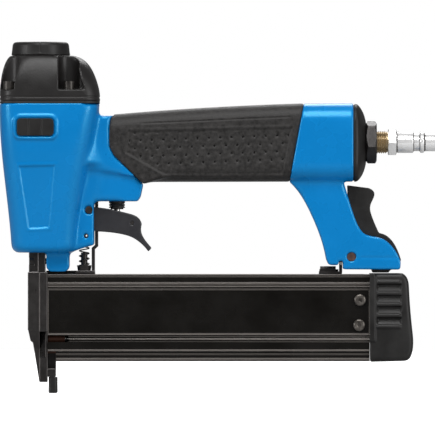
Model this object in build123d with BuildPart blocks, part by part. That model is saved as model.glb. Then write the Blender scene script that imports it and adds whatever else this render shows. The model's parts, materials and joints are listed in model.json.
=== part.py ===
from build123d import *
import os

os.makedirs("parts", exist_ok=True)

# A pneumatic brad nailer, in millimetres. +Z points up, against the shot, and +X from the nose
# towards the air plug.
# The driver's axis is the line X = 0, Y = 0, and Z = 0 is the underside of the contact tip.

# Driving dimensions
brad_length = 50.0  # longest brad that the magazine takes
grip_length = 127.0  # grip sleeve, along its upper edge
bore_radius = 15.0  # cylinder bore
cylinder_wall = 2.0
magazine_half = 9.0  # half the magazine's thickness
grip_half = 17.8  # half the grip's thickness
pivot_radius = 2.4  # trigger pin

# Clearances
running_gap = 0.05  # a shaft in its bore
slide_gap = 0.15  # the blade in its channel
free_gap = 0.3  # pieces that pass each other

# Heights, from the nose up
nose_low = 7.4
foot_low = 10.9
magazine_low = 21.4
channel_low = magazine_low + 3.2
channel_high = channel_low + brad_length + 0.6
deck = channel_high + 4.5  # top of the magazine
lug_low = deck + 1.6
barrel_low = deck + 14.4
floor_z = barrel_low + 6.4
bumper_height = 12.7
bumper_top = floor_z + bumper_height
blade_tip = channel_high + 1.2
stroke = blade_tip - nose_low
piston_low = bumper_top + free_gap + stroke
piston_height = 12.0
cylinder_top = piston_low + piston_height + 2.5
shoulder = cylinder_top - 3.0  # top of the housing
ledge_z = shoulder - 44.0  # step that carries the cylinder's collar
gasket_height = 1.2
head_low = shoulder + gasket_height
head_height = 30.6
head_top = head_low + head_height

# Radii round the driver's axis
cylinder_radius = bore_radius + cylinder_wall
chamber_radius = cylinder_radius + 5.0
return_radius = cylinder_radius + 2.6
seat_radius = cylinder_radius + slide_gap
stem_radius = 3.0
floor_hole_radius = 4.2

# Barrel: level, distance of the front and of the rear from the axis, half width, corner radius
barrel_front = chamber_radius + 5.8
back = chamber_radius + 16.5
barrel_half = chamber_radius + 6.0
barrel_corner = 11.0
barrel_levels = (
    (barrel_low, seat_radius + 2.9, seat_radius + 6.9, seat_radius + 4.4, 12.0),
    (ledge_z - 20.0, return_radius + 3.6, return_radius + 7.6, return_radius + 5.0, 12.5),
    (ledge_z, return_radius + 5.9, return_radius + 11.4, return_radius + 6.8, 13.0),
    (shoulder, barrel_front, back, barrel_half, barrel_corner),
)

# Places behind the barrel
yoke_rear = back - 3.5
yoke_half = 15.0
boss_half = 14.0
neck_half = grip_half - 0.8
neck_high = shoulder - 8.6
cheek_low = ledge_z + 3.0
yoke_slot_half = 7.3
yoke_slot_front = yoke_rear - 8.4
boss_low = shoulder - 65.6
grip_low = shoulder - 52.4
grip_front = back + 9.8
cheek_rear = grip_front - 3.2
tail = grip_front + grip_length
rear_half = 19.5
rear_end = tail + 33.2
wall = 3.2
core_half = grip_half - wall
pivot_x = back - 6.8
pivot_z = shoulder - 71.3
valve_x = back + 11.75
spring_x = back - 10.2
link_x = back - 3.0
link_thick = 2.2
link_half = 3.0
strut_half = 11.0
latch_half = 5.5
latch_x = tail + 31.9
latch_z = deck + 11.6
latch_pin_radius = 2.9
plug_z = shoulder - 26.0

# Magazine
nose_rear = 3.75
nose_front = 9.3
nose_half = magazine_half + 0.5
channel_half = 1.2
channel_depth = 0.7
rail_front = nose_rear
cover_front = nose_rear + free_gap
magazine_rear = tail + 44.1
tunnel_z = magazine_low + 15.0
tunnel_radius = 4.2
cap_half = magazine_half + 3.0

# Safety
safety_travel = 8.0
arm_front = nose_rear + slide_gap
arm_rear = arm_front + 5.3
arm_inner = nose_half + free_gap
arm_outer = arm_inner + 1.8
foot_high = channel_low - safety_travel - free_gap
tip_half = 4.5
tab_low = deck + 0.5
tab_high = tab_low + 1.8
spring_radius = 3.2
pocket_z = barrel_low + 7.0

# Head and exhaust
head_bore = cylinder_radius + 2.0
exhaust_bore = 9.0
ceiling_z = head_low + 18.3
exhaust_plate_z = head_top - 6.0
exhaust_x = -0.8
exhaust_radius = 19.8
exhaust_height = 9.0
valve_travel = 3.5
screw_front = -(chamber_radius - 0.5)
screw_rear = chamber_radius - 3.5
screw_side = chamber_radius - 1.0
screw_seat = head_low + 7.8
UP = (Align.CENTER, Align.CENTER, Align.MIN)


def outline(plane, points):
    """A face on the plane with straight sides between the points."""
    with BuildSketch(plane) as sketch:
        with BuildLine():
            Polyline(*points, close=True)
        make_face()
    return sketch.sketch


def rounded(plane, x_low, x_high, y_low, y_high, corner):
    """A rectangle on the plane, between these sides, with rounded corners."""
    with BuildSketch(plane) as sketch:
        with Locations(((x_low + x_high) / 2, (y_low + y_high) / 2)):
            RectangleRounded(x_high - x_low, y_high - y_low, corner)
    return sketch.sketch


def side(y):
    """The upright plane at this Y: sketch x is X, sketch y is Z, and an extrusion goes towards -Y."""
    return Plane.XZ.offset(-y)


def block(x, y, z, mode=Mode.ADD):
    """A box between three (low, high) pairs."""
    with Locations(((x[0] + x[1]) / 2, (y[0] + y[1]) / 2, (z[0] + z[1]) / 2)):
        Box(x[1] - x[0], y[1] - y[0], z[1] - z[0], mode=mode)


def post(radius, z_low, z_high, x=0.0, y=0.0, mode=Mode.ADD):
    """An upright cylinder."""
    with Locations((x, y, z_low)):
        Cylinder(radius, z_high - z_low, align=UP, mode=mode)


def bar(radius, x_low, x_high, y, z, mode=Mode.ADD):
    """A cylinder lying along X."""
    with Locations(Location(((x_low + x_high) / 2, y, z), (0, 90, 0))):
        Cylinder(radius, x_high - x_low, mode=mode)


def axle(radius, y_low, y_high, x, z, mode=Mode.ADD):
    """A cylinder lying along Y."""
    with Locations(Location((x, (y_low + y_high) / 2, z), (90, 0, 0))):
        Cylinder(radius, y_high - y_low, mode=mode)


def ring(inner, outer, z_low, z_high, x=0.0, mode=Mode.ADD):
    """An upright square-sided ring."""
    with BuildSketch(Plane.XY.offset(z_low)) as sketch:
        with Locations((x, 0)):
            Circle(outer)
            Circle(inner, mode=Mode.SUBTRACT)
    extrude(sketch.sketch, amount=z_high - z_low, mode=mode)


def o_ring(outer, wire, z, x=0.0):
    """A round seal whose outside has this radius."""
    with Locations((x, 0, z)):
        Torus(outer - wire / 2, wire / 2)


def coil(radius, wire, start, length, turns, direction):
    """A coil spring of round wire, from a start point along a direction."""
    with BuildPart() as spring:
        with BuildLine() as path:
            Helix(length / turns, length, radius, center=start, direction=direction)
        with BuildSketch(Plane(origin=path.line @ 0, z_dir=path.line % 0)):
            Circle(wire / 2)
        sweep()
    return spring.part


def finish(piece, name):
    """Names a finished piece and writes it."""
    piece.part.label = name
    export_step(piece.part, f"parts/{name}.step")


# Sizes that two or more pieces share
head_screw_radius = 2.5
cavity_bounds = (-10.0, 10.0, grip_low + 9.0, shoulder - 13.0)
spigot_bounds = (-13.0, 13.0, grip_low + 6.5, shoulder - 7.0)
spigot_length = 8.0
spigot_corner = 9.0
valve_radius = 5.35
valve_low = shoulder - 71.6
valve_high = shoulder - 45.0
stem_low = valve_low - 4.0
nose_screw_radius = 2.0
nose_screw_side = 5.4
upper_screw_z = lug_low + 7.0
roll_pin_radius = 1.35
roll_pin_x = back - 8.6
roll_pin_z = pocket_z + 4.2
bracket_pin_radius = 1.0
hook_x = tail + 24.8
hook_z = deck + 7.2
latch_spring_radius = 2.6
latch_spring_z = shoulder - 71.0
latch_web_x = tail + 20.0
pad_low = shoulder - 21.9
pad_high = shoulder - 10.4
pad_front = -16.1
pad_rear = 8.4
pad_border = 1.8
pad_corner = 2.5
pad_grooves = (-8.4, 0.2)
screw_pocket = 6.8
# The rear pockets open rearwards: height over the seat, and reach beyond the pocket's radius
pocket_slope = ((0.0, 4.0), (6.0, 1.6), (14.0, -0.5))
side_reach = 20.0  # cuts that go out through a side
screw_head_radius = 3.75
adapter_radius = 9.6
thread_radius = 7.7
plug_tail_radius = 6.0
plug_end = rear_end + 60.2
lever_pin_radius = 1.3
bracket_screw_radius = 1.5
bracket_screw_side = 5.0
bracket_screw_places = (tail + 13.0, tail + 21.0)
cover_screw_radius = 2.0
cover_screw_places = ((magazine_rear - 6.4, deck - 17.3), (magazine_rear - 7.0, magazine_low + 24.2))
rod_radius = 1.6
hook_low = deck + 1.0

# ---------------------------------------------------------------- housing
screw_places = [(x, y) for x in (screw_front, screw_rear) for y in (-screw_side, screw_side)]

# The grip's slanted front edge, from top to bottom, is where the sleeve meets the neck.
grip_edge = (
    (grip_front, shoulder - 8.2),
    (grip_front - 2.3, shoulder - 10.0),
    (grip_front - 3.0, shoulder - 18.5),
    (grip_front - 3.0, shoulder - 28.7),
    (grip_front, shoulder - 34.7),
    (grip_front + 19.6, shoulder - 54.0),
)
neck_reach = 0.755  # where the neck's lower edge meets the grip's slanted edge, as a share of its last run
neck_corner = tuple(a + neck_reach * (b - a) for a, b in zip(grip_edge[-2], grip_edge[-1]))
grip_rear_low = (tail - 9.6, grip_low)
grip_rear_high = (tail, shoulder - 0.2)


def handle_tube(half, top_drop, bottom_rise, corner):
    """The tube inside the grip, from the neck to behind the grip's rear edge."""
    with BuildPart() as tube:
        extrude(
            outline(
                Plane.XZ,
                (
                    (back, shoulder - 8.0 - top_drop),
                    (tail + 6.0, shoulder - 0.4 - top_drop),
                    (tail + 6.0, grip_low + bottom_rise),
                    (back, grip_low + bottom_rise),
                ),
            ),
            amount=half,
            both=True,
        )
        fillet(tube.edges().filter_by(lambda e: abs((e % 0).X) > 0.9), corner)
    return tube.part


latch_slot = (
    (tail + 21.5, shoulder - 54.5),
    (tail + 21.5, shoulder - 76.0),
    (tail + 25.2, latch_z + 8.0),
    (tail + 25.2, latch_z - 6.2),
    (tail + 39.5, latch_z - 6.2),
    (tail + 39.5, deck),
    (tail + 70.0, deck),
    (tail + 70.0, shoulder - 54.5),
)
strut_front = (
    (tail - 9.1, shoulder - 53.0),
    (tail - 3.5, shoulder - 59.1),
    (tail + 0.3, shoulder - 65.0),
    (tail + 7.1, deck + 35.5),
    (tail + 11.6, deck + 23.8),
    (tail + 15.0, deck + 10.0),
)
strut_rear = (
    (tail + 39.5, deck + 27.8),
    (tail + 37.0, deck + 31.3),
    (tail + 33.9, deck + 38.4),
    (tail + 31.1, shoulder - 67.5),
    (tail + 26.8, shoulder - 52.8),
)

with BuildPart() as main_housing:
    # Barrel, narrower towards the nose
    loft(
        [
            rounded(Plane.XY.offset(z), -front, rear, -half, half, corner)
            for z, front, rear, half, corner in barrel_levels
        ]
    )
    fillet(main_housing.faces().sort_by(Axis.Z)[0].edges(), 5.0)
    # Lug that carries the nose and the front of the magazine
    extrude(
        rounded(side(0), 3.0, 18.5, lug_low, barrel_low + 9.0, 4.0),
        amount=magazine_half,
        both=True,
    )
    # Trigger yoke
    extrude(
        outline(
            side(0),
            (
                (back - 24.0, barrel_low + 8.0),
                (back - 19.5, barrel_low + 0.2),
                (back - 7.8, barrel_low + 4.0),
                (back - 3.9, barrel_low + 5.0),
                (yoke_rear, barrel_low + 6.0),
                (yoke_rear, boss_low + 2.5),
                (back + 2.4, shoulder - 45.0),
                (back - 24.0, shoulder - 45.0),
            ),
        ),
        amount=yoke_half,
        both=True,
    )
    # Valve boss
    extrude(
        outline(
            side(0),
            (
                (back - 10.0, boss_low),
                (back + 25.6, boss_low),
                (back + 27.6, boss_low + 3.0),
                *reversed(grip_edge),
                (back - 10.0, neck_high),
            ),
        ),
        amount=boss_half,
        both=True,
    )
    # Neck, up to the grip's front edge
    extrude(
        outline(
            side(0),
            (
                (back - 14.0, ledge_z + 0.8),
                (back + 2.9, ledge_z - 1.6),
                neck_corner,
                *reversed(grip_edge[:-1]),
                (back - 10.0, neck_high),
            ),
        ),
        amount=neck_half,
        both=True,
    )
    # Cheeks that widen the neck towards the barrel
    extrude(
        outline(
            Plane.XY.offset(cheek_low),
            (
                (0.0, -barrel_half + 5.0),
                (back - 8.0, -barrel_half + 6.5),
                (cheek_rear, -neck_half + 0.5),
                (cheek_rear, neck_half - 0.5),
                (back - 8.0, barrel_half - 6.5),
                (0.0, barrel_half - 5.0),
            ),
        ),
        amount=neck_high - cheek_low,
        taper=8.0,
    )
    add(handle_tube(core_half, wall, wall, 9.0))
    # Rear section of the handle
    extrude(
        outline(
            side(0),
            (
                grip_rear_low,
                grip_rear_high,
                (rear_end, shoulder),
                (rear_end, grip_low),
            ),
        ),
        amount=rear_half,
        both=True,
    )
    fillet(
        main_housing.edges()
        .filter_by(lambda e: abs((e % 0.5).X) > 0.99 and abs(abs(e.center().Y) - rear_half) < 0.01)
        .filter_by(lambda e: e.center().X > tail),
        12.0,
    )
    # Rear strut with its foot
    with BuildSketch(side(0)) as strut:
        with BuildLine():
            Spline(*strut_front)
            Polyline(
                strut_front[-1],
                (tail + 16.5, deck + 6.6),
                (tail + 18.0, deck + 6.0),
                (tail + 23.3, deck + 6.0),
                (tail + 23.3, deck + 9.0),
                (tail + 26.3, deck + 9.0),
                (tail + 26.3, deck + 3.2),
                (tail + 64.6, deck + 3.0),
                (tail + 64.9, deck + 8.1),
            )
            Spline(
                (tail + 64.9, deck + 8.1),
                (tail + 60.7, deck + 16.5),
                (tail + 51.5, deck + 24.2),
                (tail + 42.3, deck + 26.2),
                strut_rear[0],
            )
            Spline(*strut_rear)
            Polyline(
                strut_rear[-1],
                (tail + 26.8, shoulder - 48.0),
                (tail - 6.0, shoulder - 48.0),
                strut_front[0],
            )
        make_face()
    extrude(strut.sketch, amount=strut_half, both=True)
    # Cylinder chambers, from the shoulder down to the driver's hole
    post(chamber_radius, ledge_z, shoulder + 1.0, mode=Mode.SUBTRACT)
    post(return_radius, floor_z + 11.5, ledge_z + 1.0, mode=Mode.SUBTRACT)
    post(seat_radius, floor_z, ledge_z, mode=Mode.SUBTRACT)
    post(floor_hole_radius, barrel_low - 1.0, floor_z + 1.0, mode=Mode.SUBTRACT)
    # Air reservoir in the handle, open to the upper chamber and to the end cap
    extrude(
        rounded(Plane.YZ.offset(back - 22.0), *cavity_bounds, 7.0),
        amount=rear_end + 5.0 - (back - 22.0),
        mode=Mode.SUBTRACT,
    )
    extrude(
        rounded(Plane.YZ.offset(rear_end - spigot_length - 0.5), *spigot_bounds, spigot_corner),
        amount=spigot_length + 5.0,
        mode=Mode.SUBTRACT,
    )
    # Trigger valve bore and its way into the reservoir
    post(valve_radius + running_gap, boss_low - 1.0, valve_high, valve_x, mode=Mode.SUBTRACT)
    post(3.0, valve_high - 1.0, cavity_bounds[2] + 1.0, valve_x, mode=Mode.SUBTRACT)
    # Slot for the trigger, slot above the safety link, and its relief in the yoke
    block(
        (yoke_slot_front, yoke_rear + 5.0),
        (-yoke_slot_half, yoke_slot_half),
        (pivot_z - 15.7, boss_low),
        mode=Mode.SUBTRACT,
    )
    block(
        (link_x - free_gap, link_x + link_thick + free_gap),
        (-link_half - free_gap, link_half + free_gap),
        (boss_low - 1.0, boss_low + safety_travel + 1.5),
        mode=Mode.SUBTRACT,
    )
    block(
        (link_x - 2.6, yoke_rear + 1.0),
        (-link_half - free_gap, link_half + free_gap),
        (barrel_low, pivot_z - 15.0),
        mode=Mode.SUBTRACT,
    )
    # Pocket of the safety spring and the hole above it
    post(spring_radius + 1.2, barrel_low - 1.0, pocket_z, spring_x, mode=Mode.SUBTRACT)
    post(2.6, barrel_low - 1.0, pocket_z + 2.0, spring_x, mode=Mode.SUBTRACT)
    # Pins of the yoke and of the foot
    axle(pivot_radius, -yoke_half - 1.0, yoke_half + 1.0, pivot_x, pivot_z, mode=Mode.SUBTRACT)
    axle(roll_pin_radius, -yoke_half - 1.0, yoke_half + 1.0, roll_pin_x, roll_pin_z, mode=Mode.SUBTRACT)
    # Slot of the latch
    extrude(
        outline(side(0), latch_slot), amount=latch_half + free_gap, both=True, mode=Mode.SUBTRACT
    )
    axle(latch_pin_radius, -strut_half - 1.0, strut_half + 1.0, latch_x, latch_z, mode=Mode.SUBTRACT)
    axle(bracket_pin_radius, -strut_half - 1.0, strut_half + 1.0, hook_x, hook_z, mode=Mode.SUBTRACT)
    bar(latch_spring_radius + 0.8, latch_web_x - 2.0, tail + 30.0, 0, latch_spring_z, mode=Mode.SUBTRACT)
    # Threaded holes of the head screws and of the nose screws
    for x, y in screw_places:
        post(head_screw_radius, shoulder - 14.0, shoulder + 1.0, x, y, mode=Mode.SUBTRACT)
    for y in (-nose_screw_side, nose_screw_side):
        bar(nose_screw_radius, 0.0, 15.0, y, upper_screw_z, mode=Mode.SUBTRACT)
    # Recesses of the side pads, each in a raised border
    for way in (-1, 1):
        extrude(
            rounded(
                side(way * (barrel_half + 0.7)),
                pad_front - pad_border,
                pad_rear + pad_border,
                pad_low - pad_border,
                pad_high + pad_border,
                pad_corner + 0.5,
            ),
            amount=way * 2.6,
        )
        extrude(
            rounded(
                side(way * (barrel_half + 2.0)), pad_front, pad_rear, pad_low, pad_high, pad_corner
            ),
            amount=way * 3.5,
            mode=Mode.SUBTRACT,
        )
finish(main_housing, "main_housing")

with BuildPart() as side_pads:
    for way in (-1, 1):
        extrude(
            rounded(
                side(way * (barrel_half + 1.7)), pad_front, pad_rear, pad_low, pad_high, pad_corner
            ),
            amount=way * 3.2,
        )
    # Two grooves leave three fields on each pad.
    for x in pad_grooves:
        for way in (-1, 1):
            block(
                (x - 0.5, x + 0.5),
                (way * (barrel_half + 1.5) - 0.4, way * (barrel_half + 1.5) + 0.4),
                (pad_low - 1.0, pad_high + 1.0),
                mode=Mode.SUBTRACT,
            )
finish(side_pads, "side_pads")

# ---------------------------------------------------------------- head
with BuildPart() as head_gasket:
    extrude(
        rounded(Plane.XY.offset(shoulder), -barrel_front, back, -barrel_half, barrel_half, barrel_corner),
        amount=gasket_height,
    )
    post(chamber_radius, shoulder - 1.0, head_low + 1.0, mode=Mode.SUBTRACT)
    for x, y in screw_places:
        post(head_screw_radius, shoulder - 1.0, head_low + 1.0, x, y, mode=Mode.SUBTRACT)
finish(head_gasket, "head_gasket")

head_levels = (
    (head_low, barrel_front, back, barrel_half, barrel_corner),
    (head_low + 10.0, barrel_front - 0.2, back - 0.8, barrel_half - 0.2, barrel_corner + 1.0),
    (head_low + 18.5, barrel_front - 1.4, back - 3.6, barrel_half - 1.4, barrel_corner + 2.5),
    (head_low + 25.5, barrel_front - 3.4, back - 7.8, barrel_half - 3.6, barrel_corner + 4.0),
    (head_top, barrel_front - 7.0, back - 17.0, barrel_half - 7.2, barrel_corner + 5.0),
)

with BuildPart() as cylinder_head:
    loft(
        [
            rounded(Plane.XY.offset(z), -front, rear, -half, half, corner)
            for z, front, rear, half, corner in head_levels
        ]
    )
    # Bores of the head valve and of the exhaust
    post(head_bore, head_low - 1.0, ceiling_z, mode=Mode.SUBTRACT)
    post(exhaust_bore, ceiling_z - 1.0, exhaust_plate_z, mode=Mode.SUBTRACT)
    with Locations((exhaust_x, 0, exhaust_plate_z - 1.0)):
        with PolarLocations(6.4, 6):
            Cylinder(1.7, 9.0, align=UP, mode=Mode.SUBTRACT)
    post(head_screw_radius, exhaust_plate_z - 1.0, head_top + 1.0, exhaust_x, mode=Mode.SUBTRACT)
    # Screw pockets, open upwards and sideways
    for x, y in screw_places:
        way = 1 if y > 0 else -1
        post(head_screw_radius, head_low - 1.0, screw_seat + 1.0, x, y, mode=Mode.SUBTRACT)
        post(screw_pocket, screw_seat, head_top + 2.0, x, y, mode=Mode.SUBTRACT)
        block(
            (x - screw_pocket, x + screw_pocket) if x > 0 else (x - side_reach, x + screw_pocket / 2),
            tuple(sorted((y, y + way * side_reach))),
            (screw_seat, head_top + 2.0),
            mode=Mode.SUBTRACT,
        )
        if x > 0:
            extrude(
                outline(
                    side(y),
                    (
                        (x, screw_seat),
                        *[(x + screw_pocket + reach, screw_seat + rise) for rise, reach in pocket_slope],
                        (x, head_top),
                    ),
                ),
                amount=-way * side_reach,
                mode=Mode.SUBTRACT,
            )
finish(cylinder_head, "cylinder_head")

with BuildPart() as head_screws:
    for x, y in screw_places:
        post(head_screw_radius, shoulder - 13.0, screw_seat, x, y)
        post(screw_head_radius, screw_seat, screw_seat + 5.5, x, y)
        with BuildSketch(Plane.XY.offset(screw_seat + 5.5)) as sockets:
            with Locations((x, y)):
                RegularPolygon(2.2, 6)
        extrude(sockets.sketch, amount=-3.0, mode=Mode.SUBTRACT)
finish(head_screws, "head_screws")

cap_low = head_top + free_gap
cap_high = head_top + exhaust_height + free_gap
with BuildPart() as exhaust_cap:
    with BuildSketch(Plane.XZ) as cap_profile:
        with BuildLine():
            Polyline(
                (2.6, cap_low),
                (5.0, cap_low),
                (5.0, cap_high - 2.6),
                (exhaust_radius - 2.8, cap_high - 2.6),
                (exhaust_radius - 2.0, cap_low),
                (exhaust_radius, cap_low),
                (exhaust_radius - 0.3, cap_low + 1.4),
                (exhaust_radius - 0.9, cap_high - 2.2),
            )
            ThreePointArc(
                (exhaust_radius - 0.9, cap_high - 2.2),
                (exhaust_radius - 1.7, cap_high - 0.7),
                (exhaust_radius - 3.4, cap_high),
            )
            Polyline(
                (exhaust_radius - 3.4, cap_high),
                (5.2, cap_high),
                (5.2, cap_high - 1.9),
                (2.6, cap_high - 1.9),
                (2.6, cap_low),
            )
        make_face()
    revolve(axis=Axis.Z)
    # Outlet through the rim on the far side
    block((-9.0, 9.0), (5.0, 25.0), (cap_low + 1.6, cap_high - 3.0), mode=Mode.SUBTRACT)
exhaust_cap.part = exhaust_cap.part.moved(Location((exhaust_x, 0, 0)))
finish(exhaust_cap, "exhaust_cap")

with BuildPart() as exhaust_screw:
    post(head_screw_radius, exhaust_plate_z, cap_high - 1.6, exhaust_x)
    post(4.6, cap_high - 1.6, cap_high, exhaust_x)
    with BuildSketch(Plane.XY.offset(cap_high)) as socket:
        with Locations((exhaust_x, 0)):
            RegularPolygon(2.0, 6)
    extrude(socket.sketch, amount=-1.4, mode=Mode.SUBTRACT)
finish(exhaust_screw, "exhaust_screw")

with BuildPart() as exhaust_silencer:
    ring(9.5, exhaust_radius - 4.4, head_top, head_top + 3.4, exhaust_x)
finish(exhaust_silencer, "exhaust_silencer")

valve_disc_low = cylinder_top + free_gap
valve_disc_high = valve_disc_low + 6.0
with BuildPart() as head_valve:
    post(head_bore - running_gap, valve_disc_low, valve_disc_high + 4.2)
    post(exhaust_bore - running_gap, valve_disc_high, exhaust_plate_z - valve_travel - 0.4)
    ring(
        exhaust_bore - running_gap,
        head_bore - 2.6,
        valve_disc_high,
        valve_disc_high + 5.0,
        mode=Mode.SUBTRACT,
    )
    post(6.0, valve_disc_low - 1.0, exhaust_plate_z, mode=Mode.SUBTRACT)
    ring(head_bore - 1.6, head_bore + 1.0, valve_disc_high + 0.4, valve_disc_high + 2.2, mode=Mode.SUBTRACT)
    ring(exhaust_bore - 1.5, exhaust_bore + 1.0, ceiling_z + 0.4, ceiling_z + 2.0, mode=Mode.SUBTRACT)
    ring(bore_radius, bore_radius + 1.2, valve_disc_low - 1.0, valve_disc_low + 1.0, mode=Mode.SUBTRACT)
finish(head_valve, "head_valve")

with BuildPart() as head_valve_seals:
    o_ring(head_bore - 0.03, 1.55, valve_disc_high + 1.3)
    o_ring(exhaust_bore - 0.03, 1.45, ceiling_z + 1.2)
    ring(bore_radius, bore_radius + 1.2, valve_disc_low, valve_disc_low + 1.0)
finish(head_valve_seals, "head_valve_seals")

with BuildPart() as head_valve_spring:
    add(
        coil(
            (exhaust_bore + head_bore) / 2 - 1.2,
            1.6,
            (0, 0, valve_disc_high + 1.0),
            ceiling_z - valve_disc_high - 2.0,
            2.5,
            (0, 0, 1),
        )
    )
finish(head_valve_spring, "head_valve_spring")

# ---------------------------------------------------------------- cylinder and driver
collar_height = 4.0
with BuildPart() as cylinder:
    post(cylinder_radius, floor_z, cylinder_top)
    post(chamber_radius - running_gap, ledge_z, ledge_z + collar_height)
    post(bore_radius, floor_z - 1.0, cylinder_top + 1.0, mode=Mode.SUBTRACT)
    ring(chamber_radius - 1.9, chamber_radius + 1.0, ledge_z + 1.0, ledge_z + 3.0, mode=Mode.SUBTRACT)
    ring(cylinder_radius - 1.2, cylinder_radius + 1.0, floor_z + 4.0, floor_z + 5.5, mode=Mode.SUBTRACT)
    # Ports into the return chamber
    for level in (bumper_top + 4.0, ledge_z - 6.0):
        with Locations((0, 0, level)):
            with PolarLocations(0, 4):
                Cylinder(1.2, 3 * cylinder_radius, rotation=(0, 90, 0), mode=Mode.SUBTRACT)
finish(cylinder, "cylinder")

with BuildPart() as cylinder_seals:
    o_ring(chamber_radius - 0.05, 1.8, ledge_z + 2.0)
    o_ring(seat_radius - 0.05, 1.3, floor_z + 4.75)
finish(cylinder_seals, "cylinder_seals")

with BuildPart() as bumper:
    post(bore_radius - slide_gap, floor_z, bumper_top)
    post(floor_hole_radius, floor_z - 1.0, bumper_top + 1.0, mode=Mode.SUBTRACT)
    chamfer(bumper.edges().group_by(Axis.Z)[-1].sort_by(SortBy.LENGTH)[-1], 1.5)
finish(bumper, "bumper")

piston_top = piston_low + piston_height
pin_z = piston_low + 3.6
with BuildPart() as piston:
    post(bore_radius - running_gap, piston_low, piston_top)
    post(stem_radius, piston_low - 1.0, piston_top - 3.0, mode=Mode.SUBTRACT)
    ring(bore_radius - 2.4, bore_radius + 1.0, piston_low + 6.4, piston_low + 8.8, mode=Mode.SUBTRACT)
    ring(6.0, bore_radius - 3.4, piston_top - 2.5, piston_top + 1.0, mode=Mode.SUBTRACT)
    axle(1.5, -bore_radius - 1.0, bore_radius + 1.0, 0, pin_z, mode=Mode.SUBTRACT)
finish(piston, "piston")

with BuildPart() as piston_seal:
    o_ring(bore_radius - 0.03, 2.3, piston_low + 7.6)
finish(piston_seal, "piston_seal")

blade_half = channel_half - 0.2
blade_thick = channel_depth - slide_gap
stem_low_z = piston_low - 14.0
with BuildPart() as driver_blade:
    post(stem_radius, stem_low_z, piston_top - 3.0)
    block((-blade_thick, blade_thick), (-blade_half, blade_half), (blade_tip, stem_low_z + 1.0))
    axle(1.5, -5.0, 5.0, 0, pin_z, mode=Mode.SUBTRACT)
finish(driver_blade, "driver_blade")

with BuildPart() as driver_pin:
    axle(1.5, -bore_radius + 1.0, bore_radius - 1.0, 0, pin_z)
finish(driver_pin, "driver_pin")

# ---------------------------------------------------------------- handle
with BuildPart() as grip_sleeve:
    with BuildSketch(side(0)) as sleeve_profile:
        with BuildLine():
            Polyline(
                *grip_edge,
                (grip_front + 24.7, shoulder - 52.6),
                grip_rear_low,
                grip_rear_high,
                (tail - 2.3, shoulder - 0.1),
            )
            ThreePointArc(
                (tail - 2.3, shoulder - 0.1),
                (grip_front + 60.0, shoulder - 3.0),
                (grip_front, shoulder - 7.4),
            )
            Line((grip_front, shoulder - 7.4), grip_edge[0])
        make_face()
    extrude(sleeve_profile.sketch, amount=grip_half, both=True)
    fillet(
        grip_sleeve.edges()
        .filter_by(lambda e: abs((e % 0.5).X) > 0.9 and abs(abs(e.center().Y) - grip_half) < 0.01)
        .filter_by(lambda e: e.length > 60.0),
        10.0,
    )
    add(handle_tube(core_half, wall, wall, 9.0), mode=Mode.SUBTRACT)
finish(grip_sleeve, "grip_sleeve")

cap_face = rear_end + 8.7
seal_thick = 0.6
with BuildPart() as end_cap_seal:
    extrude(
        rounded(
            Plane.YZ.offset(rear_end),
            0.8 - rear_half,
            rear_half - 0.8,
            grip_low + 0.7,
            shoulder - 1.1,
            12.0,
        ),
        amount=seal_thick,
    )
    extrude(
        rounded(Plane.YZ.offset(rear_end - 1.0), *spigot_bounds, spigot_corner),
        amount=3.0,
        mode=Mode.SUBTRACT,
    )
finish(end_cap_seal, "end_cap_seal")

with BuildPart() as end_cap:
    extrude(
        rounded(
            Plane.YZ.offset(rear_end + seal_thick),
            -rear_half,
            rear_half,
            grip_low - 0.1,
            shoulder - 0.3,
            13.0,
        ),
        amount=cap_face - rear_end - seal_thick,
    )
    fillet(end_cap.faces().sort_by(Axis.X)[-1].edges(), 7.0)
    extrude(
        rounded(Plane.YZ.offset(rear_end - spigot_length), *spigot_bounds, spigot_corner),
        amount=spigot_length + 1.0,
    )
    bar(adapter_radius, rear_end - spigot_length - 1.0, cap_face + 1.0, 0, plug_z, mode=Mode.SUBTRACT)
finish(end_cap, "end_cap")

with BuildPart() as air_adapter:
    with BuildSketch(Plane.YZ.offset(cap_face)) as adapter_hex:
        with Locations((0, plug_z)):
            RegularPolygon(13.0, 6, major_radius=False, rotation=-13)
    extrude(adapter_hex.sketch, amount=7.0)
    chamfer(air_adapter.faces().sort_by(Axis.X)[-1].edges(), 0.8)
    bar(adapter_radius, rear_end - spigot_length, cap_face, 0, plug_z)
    bar(thread_radius, rear_end - spigot_length - 1.0, cap_face + 8.0, 0, plug_z, mode=Mode.SUBTRACT)
finish(air_adapter, "air_adapter")

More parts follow.
